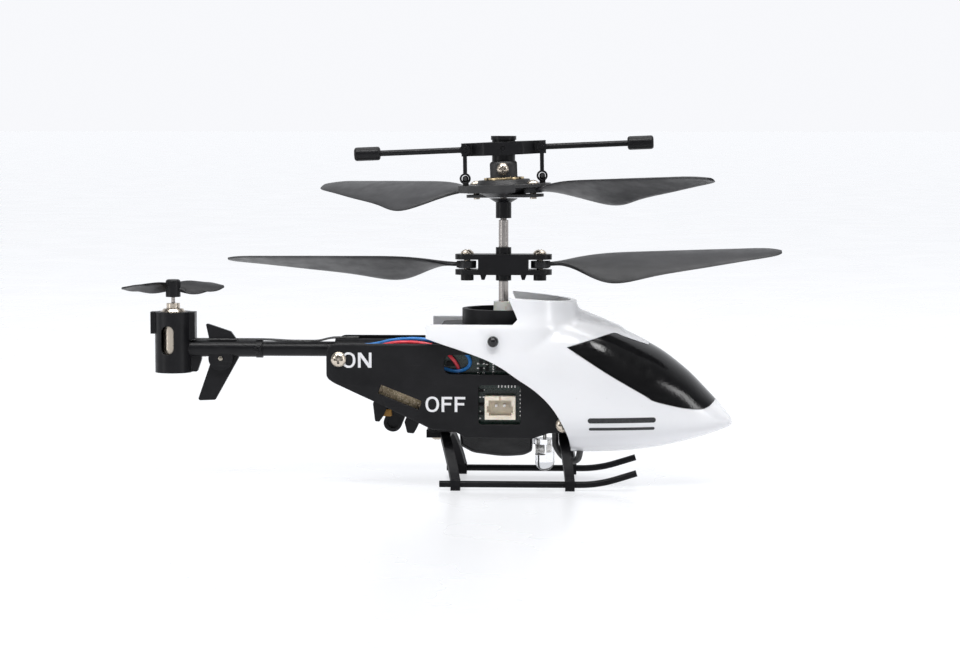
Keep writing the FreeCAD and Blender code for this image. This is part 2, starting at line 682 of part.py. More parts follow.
def blade_wires(stations, camber):
    """Aerofoil rings for stations of (radius, lead, trail, thickness, pitch, rise)."""
    wires = []
    for radius, lead, trail, thick, pitch, rise in stations:
        half = (lead + trail) / 2
        middle = (lead - trail) / 2
        turn = math.radians(pitch)
        points = []
        for i in range(16):
            angle = 2 * math.pi * i / 16
            along = middle + half * math.cos(angle)
            up = thick / 2 * math.sin(angle) + camber * half * math.sin(angle) ** 2
            y = along * math.cos(turn) - up * math.sin(turn)
            z = along * math.sin(turn) + up * math.cos(turn)
            points.append(Vector(radius, y, z + rise))
        curve = Part.BSplineCurve()
        curve.interpolate(points, PeriodicFlag=True)
        wires.append(Part.Wire(curve.toShape()))
    return wires


def make_tail_rotor():
    """Two-bladed push-on rotor."""
    stations = [
        (0.2, 0.7, 0.7, 0.9, 40, 0), (1.6, 1.5, 1.5, 0.6, 34, 0), (3.6, 2.0, 2.3, 0.5, 25, 0),
        (5.8, 1.9, 2.1, 0.42, 18, 0), (7.3, 1.2, 1.4, 0.36, 14, 0), (TAIL_ROTOR_R, 0.4, 0.45, 0.3, 13, 0),
    ]
    blade = smooth_loft(blade_wires(stations, 0.06))
    hub = post(1.15, 0, 0, (-1.45, 1.25))
    hub = hub.makeFillet(0.4, hub.Edges[:1])
    rotor = fused([hub, blade, tilted(blade, ORIGIN, Z_AXIS, 180)])
    rotor = rotor.cut(post(0.3, 0, 0, (-2.0, 0.8)))
    rotor.rotate(ORIGIN, Z_AXIS, TAIL_ROTOR_TURN)
    return rotor.translated(Vector(TAIL_X, 0, 30.05))


# ---- landing gear -------------------------------------------------------------------------------
def make_landing_bow(top_x, foot_x, tab_to):
    """Bow with a cross bar under the frame, two splayed legs and two feet round the skids."""
    route = [(top_x, 0, 7.7), (top_x, 4.4, 7.7), (top_x + 0.25 * (foot_x - top_x), 6.3, 6.5),
             (top_x + 0.75 * (foot_x - top_x), 8.6, 3.4), (foot_x, SKID_Y - 0.1, 1.2)]
    path = route_wire(route)
    ring = Part.makePolygon([Vector(top_x + dx, 0, 7.7 + dz) for dx, dz in
                             ((-0.7, -0.55), (0.7, -0.55), (0.7, 0.55), (-0.7, 0.55), (-0.7, -0.55))])
    leg = path.makePipeShell([ring], True, False)
    foot = box((foot_x - 0.72, foot_x + 0.72), (SKID_Y - 0.85, SKID_Y + 0.85), (0, 1.7))
    foot = foot.makeFillet(0.25, [e for e in foot.Edges if e.BoundBox.XLength > 1])
    half = leg.fuse(foot)
    tab = box(sorted((top_x, tab_to)), (-2.2, 2.2), (7.1, 8.25))
    bow = fused([half, mirrored(half), tab])
    for y in (-SKID_Y, SKID_Y):
        bow = bow.cut(rod(SKID_R, (foot_x - 3, y, SKID_Z), X_AXIS, 6))
    return bow.cut(post(0.45, math.copysign(WALL_X, top_x), 0, (6, 9)))


def make_skid(side):
    y = side * SKID_Y
    return routed_tube([(-9.35, y, SKID_Z), (14.7, y, SKID_Z), (20.5, y, 2.75)], SKID_R)


# ---- lower rotor --------------------------------------------------------------------------------
MAIN_BLADE = [
    (6.3, 0.65, 0.65, 0.7, 0, 0), (8.2, 0.75, 0.75, 0.7, 3, 0), (9.8, 1.4, 1.7, 0.8, 14, 0),
    (12.4, 2.2, 4.5, 0.8, 21, 0), (16.0, 2.6, 7.4, 0.8, 24, 0), (22.0, 2.6, 6.9, 0.75, 22, 0),
    (30.0, 2.4, 5.5, 0.7, 18, 0), (37.5, 2.1, 4.0, 0.6, 14, 0), (41.3, 1.4, 2.9, 0.5, 12, 0),
    (ROTOR_TIP_R, 0.1, 1.3, 0.36, 12, 0),
]


def make_main_blade(hinge_r, eye_thick, coning):
    """Blade along +X about the rotor axis at height 0, with its hinge eye; leads towards +Y."""
    body = smooth_loft(blade_wires(MAIN_BLADE, 0.05))
    neck = box((hinge_r, 7.2), (-0.65, 0.65), (-eye_thick / 2 + 0.05, eye_thick / 2 - 0.05))
    body = tilted(body.fuse(neck), Vector(hinge_r, 0, 0), Y_AXIS, -coning)
    body = body.fuse(post(1.4, hinge_r, 0, (-eye_thick / 2, eye_thick / 2)))
    return body.cut(post(SCREW_R + FIT, hinge_r, 0, (-3, 3))).removeSplitter()


def make_lower_hub():
    """Yoke of two plates on a centre block, with sleeves round the outer shaft."""
    def yoke(z):
        half = 1.85
        end = LAG_HINGE_R + half
        return plan_plate([(-end, -half, 1.8), (end, -half, 1.8), (end, half, 1.8), (-end, half, 1.8)], z)
    parts = [
        yoke((34.55, 35.35)),
        yoke((32.2, 33.0)),
        box((-3.85, 3.85), (-1.85, 1.85), (32.2, 35.35)),
        post(1.2, 0, 0, (31.3, 36.4)),
    ]
    for x in (-LAG_HINGE_R, LAG_HINGE_R):
        parts.append(post(1.0, x, 0, (31.3, 32.3)))
    for x in (-3.1, 3.1):
        parts.append(side_plate([(x - 0.5, 32.3), (x - 0.25, 31.4), (x + 0.2, 31.4), (x + 0.5, 32.3)], (-0.9, 0.9)))
    hub = fused(parts).cut(post(TUBE_R, 0, 0, (30, 38)))
    for x in (-LAG_HINGE_R, LAG_HINGE_R):
        hub = hub.cut(post(SCREW_R, x, 0, (31.8, 36)))
    return hub


def make_lower_hub_screws():
    screws = []
    for x in (-LAG_HINGE_R, LAG_HINGE_R):
        screws.append(screw(1.0, 0.75, SCREW_R, 3.4, (x, 0, 35.35), Z_AXIS))
    return screws


# ---- upper rotor --------------------------------------------------------------------------------
HUB_CENTRE = Vector(0, 0, HUB_PIVOT_Z)
FLYBAR_CENTRE = Vector(0, 0, FLYBAR_Z)


def make_shaft_collar():
    """Collar under the upper hub, flared at its top."""
    collar = post(1.2, 0, 0, (40.9, 43.3)).fuse(cone(1.2, 2.2, 0, 0, (43.3, 43.9)))
    return collar.removeSplitter().cut(post(SHAFT_R, 0, 0, (40, 45)))


def make_rotor_head():
    """Head block on the inner shaft: the hub rocks on its screws, the flybar on its cross pin."""
    parts = [
        post(1.78, 0, 0, (47.35, 52.9)),
        post(1.95, 0, 0, (52.9, 53.5)),
        cross_rod(0.36, 0, FLYBAR_Z, (-2.7, 2.7)),
    ]
    head = fused(parts).cut(post(SHAFT_R, 0, 0, (46, 49.9)))
    for side in (-1, 1):
        head = head.cut(cross_rod(0.4, 0, HUB_PIVOT_Z, sorted((side * 0.9, side * 2.5))))
    return head


def hub_outline(z):
    """Oval plate of the upper hub, long along the blades."""
    oval = Part.Ellipse(ORIGIN, 8.5, 5.7).toShape()
    plate = Part.Face(Part.Wire(oval)).extrude(Vector(0, 0, z[1] - z[0]))
    plate.translate(Vector(0, 0, z[0]))
    return tilted(plate, ORIGIN, Z_AXIS, UPPER_AZIMUTH)


def make_upper_hub():
    """Oval dish that carries the upper blades, with two ears on the head's screws."""
    parts = [
        hub_outline((45.6, 46.1)),
        cone(2.7, 5.5, 0, 0, (44.25, 45.6)),
        cone(4.3, 3.9, 0, 0, (46.1, 46.8)),
    ]
    arm = box((0, UPPER_HINGE_R), (-1.6, 1.6), (44.1, 44.55)).fuse(post(1.6, UPPER_HINGE_R, 0, (44.1, 44.55)))
    for turn in (UPPER_AZIMUTH, UPPER_AZIMUTH + 180):
        parts.append(tilted(arm, ORIGIN, Z_AXIS, turn))
    skirt = hub_outline((44.95, 45.6))
    swing_room = tilted(box((-10, 10), (-3.7, 3.7), (44, 46)), ORIGIN, Z_AXIS, UPPER_AZIMUTH)
    parts.append(skirt.cut(swing_room))
    bulge = Part.makeSphere(3.0, Vector(0, 0, 48.1)).common(post(2.75, 0, 0, (46.7, 49.6)))
    parts.append(bulge)
    hub = fused(parts)
    hub = hub.cut(box((-4, 4), (-1.86, 1.86), (47.0, 50.0)))
    hub = hub.cut(post(1.25, 0, 0, (43, 48)))
    for turn in (UPPER_AZIMUTH, UPPER_AZIMUTH + 180):
        room = post(1.75, UPPER_HINGE_R, 0, (44.55, 45.6)).fuse(post(SCREW_R, UPPER_HINGE_R, 0, (43, 47)))
        hub = hub.cut(tilted(room, ORIGIN, Z_AXIS, turn))
    for x in (-LINK_X, LINK_X):
        lug = box((x - 0.45, x + 0.45), (-0.75, -0.1), (45.9, LINK_FOOT_Z))
        lug = lug.fuse(cross_rod(0.45, x, LINK_FOOT_Z, (-0.75, -0.1)))
        hub = hub.fuse(lug.fuse(cross_rod(0.28, x, LINK_FOOT_Z, (-1.55, -0.2))))
    hub = hub.cut(cross_rod(0.4 + FIT, 0, HUB_PIVOT_Z, (-4, 4)))
    return tilted(hub.removeSplitter(), HUB_CENTRE, Y_AXIS, REST_TILT)


def make_hub_ring():
    """Thin metal ring lying on the hub's step."""
    ring = post(3.1, 0, 0, (46.8, 47.15)).cut(post(2.77, 0, 0, (46, 48)))
    return tilted(ring, HUB_CENTRE, Y_AXIS, REST_TILT)


def make_hub_pivot_screws():
    screws = []
    for side in (-1, 1):
        screws.append(screw(0.9, 0.6, 0.4, 2.05, (0, side * 2.98, HUB_PIVOT_Z), Vector(0, side, 0)))
    return screws


def make_upper_blade_screws():
    screws = []
    for turn in (UPPER_AZIMUTH, UPPER_AZIMUTH + 180):
        one = screw(0.95, 0.6, SCREW_R, 2.3, (UPPER_HINGE_R, 0, 46.1), Z_AXIS)
        one = tilted(one, ORIGIN, Z_AXIS, turn)
        screws.append(tilted(one, HUB_CENTRE, Y_AXIS, REST_TILT))
    return screws


def make_upper_blade(turn):
    """Opposite-handed blade, because the upper rotor turns the other way."""
    blade = mirrored(make_main_blade(UPPER_HINGE_R, 0.75, 2.2))
    blade = blade.translated(Vector(0, 0, UPPER_EYE_Z))
    blade = tilted(blade, ORIGIN, Z_AXIS, turn)
    return tilted(blade, HUB_CENTRE, Y_AXIS, REST_TILT)


def make_flybar():
    """Rocking bar with a window round the head, two rods and end weights."""
    z = (FLYBAR_Z - 1.0, FLYBAR_Z + 1.0)
    outline = []
    for x_side, y_side in ((-1, -1), (1, -1), (1, 1), (-1, 1)):
        corner = [(x_side * 6.5, y_side * 0.75, 0.5), (x_side * 4.8, y_side * 0.8), (x_side * 3.0, y_side * 2.8, 1.0)]
        outline.extend(corner if x_side == y_side else corner[::-1])
    bar = plan_plate(outline, z)
    bar = bar.cut(plan_plate([(-2.35, -1.86, 0.8), (2.35, -1.86, 0.8), (2.35, 1.86, 0.8), (-2.35, 1.86, 0.8)],
                             (z[0] - 1, z[1] + 1)))
    bar = bar.cut(cross_rod(0.36 + FIT, 0, FLYBAR_Z, (-4, 4)))
    parts = [bar]
    for side in (-1, 1):
        parts.append(rod(0.45, (side * 6.0, 0, FLYBAR_Z), Vector(side, 0, 0), FLYBAR_TIP - 6.5))
        weight = rod(1.05, (side * (FLYBAR_TIP - 4.0), 0, FLYBAR_Z), Vector(side, 0, 0), 4.0)
        parts.append(weight.makeFillet(0.4, [e for e in weight.Edges if e.BoundBox.XLength < 1e-6]))
        parts.append(cross_rod(0.35, side * LINK_X, FLYBAR_Z, (-1.6, 0)))
    return tilted(fused(parts), FLYBAR_CENTRE, Y_AXIS, REST_TILT)


def make_link(side):
    """Flat strip with an eye at each end."""
    y = (-1.5, -0.95)
    x = side * LINK_X
    strip = box((x - 0.3, x + 0.3), y, (LINK_FOOT_Z, FLYBAR_Z))
    link = fused([strip, cross_rod(0.8, x, FLYBAR_Z, y), cross_rod(0.85, x, LINK_FOOT_Z, y)])
    link = link.cut(cross_rod(0.35 + FIT, x, FLYBAR_Z, (-3, 3)))
    link = link.cut(cross_rod(0.55, x, LINK_FOOT_Z, (-3, 3)))
    link = tilted(link, Vector(x, 0, FLYBAR_Z), Y_AXIS, LINK_TILT)
    drop = Vector(x, 0, 0)
    moved = FreeCAD.Rotation(Y_AXIS, REST_TILT).multVec(drop)
    return link.translated(moved - drop)


# ---- build --------------------------------------------------------------------------------------
def build():
    os.makedirs("parts", exist_ok=True)
    write("main_frame", make_main_frame())
    write("side_panel_right", make_right_panel())
    write("side_panel_left", make_left_panel())
    shell = make_canopy_shell()
    write("canopy", make_canopy(shell))
    write("windscreen", make_windscreen(shell))
    write("canopy_pins", make_canopy_pins())

    screws = []
    for side in (-1, 1):
        for x, z in PANEL_SCREWS:
            screws.append(screw(1.15, 0.7, SCREW_R, 4.0, (x, side * PANEL_FACE, z), Vector(0, side, 0)))
    for x in (-WALL_X, WALL_X):
        screws.append(screw(0.95, 0.6, 0.45, 2.6, (x, 0, 7.1), Vector(0, 0, -1)))
    write("body_screws", screws)

    boom = rod(BOOM_R, (BOOM_TIP, 0, BOOM_Z), X_AXIS, 23.0).cut(rod(0.7, (BOOM_TIP, 0, BOOM_Z), X_AXIS, 23.0))
    write("tail_boom", boom)
    write("tail_motor_mount", make_tail_motor_mount())
    write("tail_fin", make_tail_fin())
    write("fin_pin", cross_rod(0.4, FIN_PIN[0], FIN_PIN[1], (-1.05, 1.05)))
    write("tail_motor_can", make_tail_motor_can())
    write("tail_motor_shaft", post(0.3, TAIL_X, 0, (21.0, 30.85)))
    write("tail_rotor", make_tail_rotor())
    write("tail_leads", make_tail_leads())

    write("circuit_board", make_circuit_board())
    write("board_chips", make_board_chips())
    write("infrared_receiver", make_infrared_receiver())
    write("charging_socket", make_charging_socket())
    write("socket_pins", make_socket_pins())
    write("switch_can", make_switch_can())
    write("switch_board", make_switch_board())
    write("switch_body", make_switch_body())
    write("switch_knob", make_switch_knob())
    write("battery", make_battery())
    write("led_lamp", make_led())
    write("led_leads", [post(0.25, 6.4, y, (6.8, 8.3)) for y in (-0.64, 0.64)])
    write("red_wire", routed_tube(RED_LEAD, LEAD_R))
    write("blue_wire", routed_tube(BLUE_LEAD, LEAD_R))
    write("nose_lead", routed_tube(NOSE_LEAD, 0.5))

    cans = []
    for x in (-MOTOR_X, MOTOR_X):
        can = post(MOTOR_R, x, 0, MOTOR_Z).fuse(post(1.0, x, 0, (MOTOR_Z[1], 20.0)))
        cans.append(can.cut(post(0.4 + FIT, x, 0, (12.0, 21.0))).removeSplitter())
    write("motor_cans", cans)
    front = toothed_disc(PINION_TEETH, OUTER_GEAR_Z).cut(post(0.4, 0, 0, (20, 25)))
    write("front_pinion", front.translated(Vector(MOTOR_X, 0, 0)))
    write("front_motor_shaft", post(0.4, MOTOR_X, 0, (12.0, 23.7)))
    rear = toothed_disc(PINION_TEETH, INNER_GEAR_Z, 20.0).cut(post(0.4, 0, 0, (20, 25)))
    write("rear_pinion", rear.translated(Vector(-MOTOR_X, 0, 0)))
    write("rear_motor_shaft", post(0.4, -MOTOR_X, 0, (12.0, 22.1)))

    bearing = fused([post(BEARING_R, 0, 0, (23.95, 28.1)), post(2.1, 0, 0, (25.62, 26.1))])
    write("upper_bearing", bearing.cut(post(TUBE_R + FIT, 0, 0, (20, 30))))
    write("lower_bearing", post(1.3, 0, 0, (16.4, 19.0)).cut(post(SHAFT_R + FIT, 0, 0, (15, 21))))

    write("landing_bow_rear", make_landing_bow(REAR_BOW_X, REAR_FOOT_X, -11.8))
    write("landing_bow_front", make_landing_bow(FRONT_BOW_X, FRONT_FOOT_X, 11.8))
    write("skid_right", make_skid(-1))
    write("skid_left", make_skid(1))

    write("outer_shaft", post(TUBE_R, 0, 0, (22.0, 40.6)).cut(post(TUBE_BORE, 0, 0, (20, 42))))
    write("outer_gear", main_gear(OUTER_GEAR_Z, TUBE_R, (OUTER_GEAR_Z[0], 23.75)))
    write("lower_hub", make_lower_hub())
    write("lower_hub_screws", make_lower_hub_screws())
    right = make_main_blade(LAG_HINGE_R, 1.1, 3.4).translated(Vector(0, 0, LOWER_EYE_Z))
    left = make_main_blade(LAG_HINGE_R, 1.1, 1.3).translated(Vector(0, 0, LOWER_EYE_Z))
    write("lower_blade_a", right)
    write("lower_blade_b", tilted(left, ORIGIN, Z_AXIS, 180))

    write("inner_shaft", post(SHAFT_R, 0, 0, (15.2, 49.7)))
    write("inner_gear", main_gear(INNER_GEAR_Z, SHAFT_R, (20.3, INNER_GEAR_Z[1])))
    write("shaft_collar", make_shaft_collar())
    write("rotor_head", make_rotor_head())
    write("hub_pivot_screws", make_hub_pivot_screws())
    write("upper_hub", make_upper_hub())
    write("hub_ring", make_hub_ring())
    write("upper_blade_screws", make_upper_blade_screws())
    write("upper_blade_a", make_upper_blade(UPPER_AZIMUTH))
    write("upper_blade_b", make_upper_blade(UPPER_AZIMUTH + 180))
    write("flybar", make_flybar())
    write("link_front", make_link(1))
    write("link_rear", make_link(-1))


build()
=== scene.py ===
import math

import bmesh
import bpy
from bpy.props import FloatProperty, FloatVectorProperty
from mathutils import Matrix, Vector


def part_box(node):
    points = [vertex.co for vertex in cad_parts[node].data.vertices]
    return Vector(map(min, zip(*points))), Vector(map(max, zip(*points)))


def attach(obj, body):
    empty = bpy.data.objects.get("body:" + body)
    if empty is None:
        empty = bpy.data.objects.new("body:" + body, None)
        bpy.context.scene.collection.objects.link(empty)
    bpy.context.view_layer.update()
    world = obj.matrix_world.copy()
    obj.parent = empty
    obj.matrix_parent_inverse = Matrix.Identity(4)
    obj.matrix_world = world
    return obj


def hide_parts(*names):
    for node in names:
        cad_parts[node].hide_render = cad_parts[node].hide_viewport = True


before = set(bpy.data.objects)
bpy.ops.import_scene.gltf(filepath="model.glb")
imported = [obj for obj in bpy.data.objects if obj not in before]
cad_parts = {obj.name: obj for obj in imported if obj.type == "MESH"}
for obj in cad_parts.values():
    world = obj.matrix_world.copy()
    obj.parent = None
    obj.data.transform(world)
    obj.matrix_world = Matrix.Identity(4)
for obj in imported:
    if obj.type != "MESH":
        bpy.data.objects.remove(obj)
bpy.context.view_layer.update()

bl_info = {
    "name": "Coaxial micro helicopter",
    "version": (1, 0, 0),
    "blender": (4, 5, 0),
    "location": "View3D > Sidebar > Helicopter",
    "description": "Finishes and detail pieces of a micro coaxial helicopter on its packed frame",
    "category": "Add Mesh",
}

MM = 0.001
SHAFT_LOW, SHAFT_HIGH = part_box("inner_shaft")
ROTOR_X = (SHAFT_LOW.x + SHAFT_HIGH.x) / 2
PANEL_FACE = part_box("side_panel_right")[0].y
BOARD_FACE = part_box("circuit_board")[0].y


def at(x, y, z):
    """Place in the frame, in metres, from millimetres measured from the foot of the rotor axis."""
    return Vector((ROTOR_X + x * MM, y * MM, z * MM))


# ---- sizes and colours that a user would change ---------------------------------------------------
def colour(name, description, value):
    return FloatVectorProperty(
        name=name, description=description, subtype="COLOR", size=3, min=0.0, max=1.0, default=value)


def length(name, description, value):
    return FloatProperty(
        name=name, description=description, subtype="DISTANCE", unit="LENGTH", min=0.0, precision=5,
        default=value)


def factor(name, description, value):
    return FloatProperty(name=name, description=description, subtype="FACTOR", min=0.0, max=1.0, default=value)


class HeliFinishes(bpy.types.PropertyGroup):
    black: colour("Black moulding", "Frame, side panels, hubs and landing gear", (0.006, 0.006, 0.0075))
    blade: colour("Blade plastic", "The four main blades", (0.014, 0.014, 0.016))
    white: colour("Canopy white", "Gloss white of the canopy shell", (0.88, 0.885, 0.91))
    windscreen: colour("Windscreen black", "Gloss black of the windscreen", (0.004, 0.004, 0.0045))
    print_ink: colour("Stripe ink", "Dark ink of the side stripes", (0.013, 0.013, 0.016))
    board: colour("Solder mask", "Circuit board green", (0.003, 0.028, 0.018))
    cream: colour("Socket cream", "Charging socket housing", (0.80, 0.72, 0.60))
    red: colour("Red lead", "Sheath of the red lead", (0.85, 0.03, 0.055))
    blue: colour("Blue lead", "Sheath of the blue lead", (0.0, 0.2, 0.62))
    nickel: colour("Nickel", "Screws, motor cans and pins", (0.70, 0.62, 0.52))
    steel: colour("Shaft steel", "Ground shafts", (0.42, 0.39, 0.37))
    brass: colour("Brass", "Bushes, pinions and the hub ring", (0.74, 0.58, 0.34))


class HeliSizes(bpy.types.PropertyGroup):
    canopy_wall: length("Canopy wall", "Thickness of the canopy shell", 0.9 * MM)
    canopy_grain: length("Canopy mesh", "Size of the canopy's surface cells", 0.36 * MM)
    neck_rise: length("Neck height", "Height of the collar round the mast over the shoulders", 5.0 * MM)
    glazing_gap: length("Glazing gap", "Groove between the windscreen and the shell", 0.07 * MM)
    print_thick: length("Print thickness", "Height of printed decals and letters", 0.02 * MM)
    letter_height: length("Letter height", "Height of the ON and OFF capitals", 2.3 * MM)
    wear: factor("Wear", "How pale the rubbed edges of the mouldings are", 0.3)


def finishes():
    return bpy.context.scene.heli_finishes


def sizes():
    return bpy.context.scene.heli_sizes


# ---- node helpers -----------------------------------------------------------------------------------
class Shader:
    """A new node material with short ways to add and join nodes."""

    def __init__(self, name):
        self.material = bpy.data.materials.new(name)
        self.material.use_nodes = True
        self.tree = self.material.node_tree
        self.bsdf = self.tree.nodes["Principled BSDF"]
        coordinates = self.tree.nodes.new("ShaderNodeTexCoord")
        self.place = coordinates.outputs["Object"]

    def node(self, kind, **settings):
        made = self.tree.nodes.new(kind)
        for key, value in settings.items():
            setattr(made, key, value)
        return made

    def join(self, source, target):
        self.tree.links.new(source, target)

    def noise(self, scale, detail=3.0, roughness=0.5, stretch=(1, 1, 1)):
        """Noise with about `scale` features a metre, drawn out along the axes where stretch is small."""
        mapping = self.node("ShaderNodeMapping")
        mapping.inputs["Scale"].default_value = stretch
        self.join(self.place, mapping.inputs["Vector"])
        noise = self.node("ShaderNodeTexNoise")
        noise.inputs["Scale"].default_value = scale
        noise.inputs["Detail"].default_value = detail
        noise.inputs["Roughness"].default_value = roughness
        self.join(mapping.outputs["Vector"], noise.inputs["Vector"])
        return noise.outputs["Fac"]

    def levels(self, source, low, high, to_low, to_high):
        span = self.node("ShaderNodeMapRange")
        for key, value in (("From Min", low), ("From Max", high), ("To Min", to_low), ("To Max", to_high)):
            span.inputs[key].default_value = value
        self.join(source, span.inputs["Value"])
        return span.outputs["Result"]

    def mix(self, share, first, second):
        """Colour mix; first and second are colours or sockets."""
        mixer = self.node("ShaderNodeMix", data_type="RGBA")
        self.join(share, mixer.inputs["Factor"])
        for socket, value in ((mixer.inputs[6], first), (mixer.inputs[7], second)):
            if isinstance(value, bpy.types.NodeSocket):
                self.join(value, socket)
            else:
                socket.default_value = (*value, 1.0)
        return mixer.outputs[2]

    def soft_edges(self, radius):
        """Normal that rounds the edges over, and a mask that is high where it does."""
        bevel = self.node("ShaderNodeBevel", samples=4)
        bevel.inputs["Radius"].default_value = radius
        geometry = self.node("ShaderNodeNewGeometry")
        turn = self.node("ShaderNodeVectorMath", operation="DOT_PRODUCT")
        self.join(bevel.outputs["Normal"], turn.inputs[0])
        self.join(geometry.outputs["Normal"], turn.inputs[1])
        return bevel.outputs["Normal"], self.levels(turn.outputs["Value"], 0.8, 0.985, 1.0, 0.0)

    def multiply(self, first, second):
        product = self.node("ShaderNodeMath", operation="MULTIPLY")
        for socket, value in zip(product.inputs, (first, second)):
            if isinstance(value, bpy.types.NodeSocket):
                self.join(value, socket)
            else:
                socket.default_value = value
        return product.outputs[0]

    def bump(self, height, strength, distance, under=None):
        bump = self.node("ShaderNodeBump")
        bump.inputs["Strength"].default_value = strength
        bump.inputs["Distance"].default_value = distance
        self.join(height, bump.inputs["Height"])
        if under is not None:
            self.join(under, bump.inputs["Normal"])
        return bump.outputs["Normal"]

    def finish(self, **sockets):
        for key, value in sockets.items():
            socket = self.bsdf.inputs[key.replace("_", " ")]
            if isinstance(value, bpy.types.NodeSocket):
                self.join(value, socket)
            elif isinstance(value, (tuple, list)):
                socket.default_value = (*value, 1.0) if len(socket.default_value) == 4 else value
            else:
                socket.default_value = value
        return self.material


def lighter(base, share):
    return tuple(c + (1.0 - c) * share for c in base)


def darker(base, share):
    return tuple(c * (1.0 - share) for c in base)


def moulded(name, base, rough=0.42, grain=9000.0, grain_depth=0.25, scratch=0.35, gloss=0.24):
    """Injection moulded plastic: fine spark-eroded grain, flow shading, hairline scratches and rubbed edges."""
    s = Shader(name)
    flow = s.levels(s.noise(260.0, 4.0, 0.6), 0.3, 0.7, 0.0, 1.0)
    toned = s.mix(flow, darker(base, 0.3), lighter(base, 0.004))
    hair = s.levels(s.noise(1500.0, 2.0, 0.4, (0.08, 1.0, 1.7)), 0.70, 0.78, 0.0, scratch)
    scuffed = s.mix(hair, toned, lighter(base, 0.02))
    rounded, edge = s.soft_edges(0.12 * MM)
    rubbed = s.mix(s.multiply(edge, sizes().wear), scuffed, lighter(base, 0.05))
    fine = s.noise(grain, 2.0, 0.5)
    soft = s.bump(s.noise(420.0, 2.0), 0.12, 0.06 * MM, rounded)
    normal = s.bump(fine, grain_depth, 0.018 * MM, soft)
    rough_map = s.levels(s.noise(700.0, 5.0, 0.65), 0.3, 0.7, rough - 0.07, rough + 0.09)
    return s.finish(Base_Color=rubbed, Roughness=rough_map, Normal=normal, Specular_IOR_Level=gloss)


def blade_plastic(name, base):
    """Flexible blade nylon: satin, with faint flow lines along the span."""
    s = Shader(name)
    flow = s.noise(900.0, 3.0, 0.5, (0.2, 0.2, 1.0))
    toned = s.mix(s.levels(flow, 0.35, 0.65, 0.0, 1.0), darker(base, 0.2), lighter(base, 0.012))
    rough = s.levels(s.noise(500.0, 4.0, 0.6), 0.3, 0.7, 0.3, 0.44)
    normal = s.bump(s.noise(7000.0, 2.0), 0.18, 0.015 * MM)
    return s.finish(Base_Color=toned, Roughness=rough, Normal=normal, Specular_IOR_Level=0.35)


def gloss_white(name, base):
    """Polished white shell: slight orange peel, a few dust specks and a faintly uneven tone."""
    s = Shader(name)
    tone = s.mix(s.levels(s.noise(90.0, 3.0), 0.35, 0.65, 0.0, 1.0), darker(base, 0.025), base)
    speck = s.levels(s.noise(2600.0, 1.0, 0.3), 0.81, 0.83, 0.0, 0.35)
    spotted = s.mix(speck, tone, (0.45, 0.42, 0.38))
    rough = s.levels(s.noise(350.0, 4.0, 0.6), 0.3, 0.7, 0.13, 0.24)
    rounded = s.soft_edges(0.14 * MM)[0]
    peel = s.bump(s.noise(620.0, 2.0), 0.07, 0.04 * MM, rounded)
    return s.finish(Base_Color=spotted, Roughness=rough, Normal=peel, Coat_Weight=0.35, Coat_Roughness=0.08,
                    Specular_IOR_Level=0.5, Subsurface_Weight=0.15, Subsurface_Scale=1.0 * MM,
                    Subsurface_Radius=(1.0, 0.95, 0.9))


def gloss_black(name, base):
    """Polished black: deep gloss with faint ripples and wiping marks."""
    s = Shader(name)
    wiped = s.levels(s.noise(900.0, 3.0, 0.5, (0.25, 1.0, 1.0)), 0.45, 0.75, 0.0, 0.5)
    tone = s.mix(wiped, base, lighter(base, 0.006))
    rough = s.levels(s.noise(800.0, 5.0, 0.7), 0.3, 0.7, 0.09, 0.18)
    ripple = s.bump(s.noise(2600.0, 2.0), 0.3, 0.05 * MM, s.soft_edges(0.1 * MM)[0])
    return s.finish(Base_Color=tone, Roughness=rough, Normal=ripple, Specular_IOR_Level=0.5,
                    Coat_Weight=0.1, Coat_Roughness=0.12)


def plated(name, base, rough=0.28, stretch=(1.0, 1.0, 1.0), depth=0.2):
    """Plated or ground metal: drawn lines along the short stretch axis, tarnish, and painted shade darkening its
    recesses.
    """
    s = Shader(name)
    lines = s.noise(5200.0, 2.0, 0.5, stretch)
    tone = s.mix(s.levels(lines, 0.3, 0.7, 0.0, 1.0), darker(base, 0.08), lighter(base, 0.05))
    stain = s.levels(s.noise(600.0, 4.0, 0.6), 0.58, 0.75, 0.0, 0.25)
    aged = s.mix(stain, tone, darker(base, 0.4))
    # Painted shade: ambient occlusion darkens the base colour to near black in recesses and between parts.
    hollow = s.node("ShaderNodeAmbientOcclusion", samples=6)
    hollow.inputs["Distance"].default_value = 0.3 * MM
    recess_shaded = s.mix(s.levels(hollow.outputs["AO"], 0.45, 0.95, 1.0, 0.0), aged, darker(base, 0.9))
    rough_map = s.levels(s.noise(1400.0, 4.0, 0.6), 0.3, 0.7, rough - 0.05, rough + 0.06)
    normal = s.bump(lines, depth, 0.012 * MM, s.soft_edges(0.08 * MM)[0])
    return s.finish(Base_Color=recess_shaded, Metallic=1.0, Roughness=rough_map, Normal=normal)


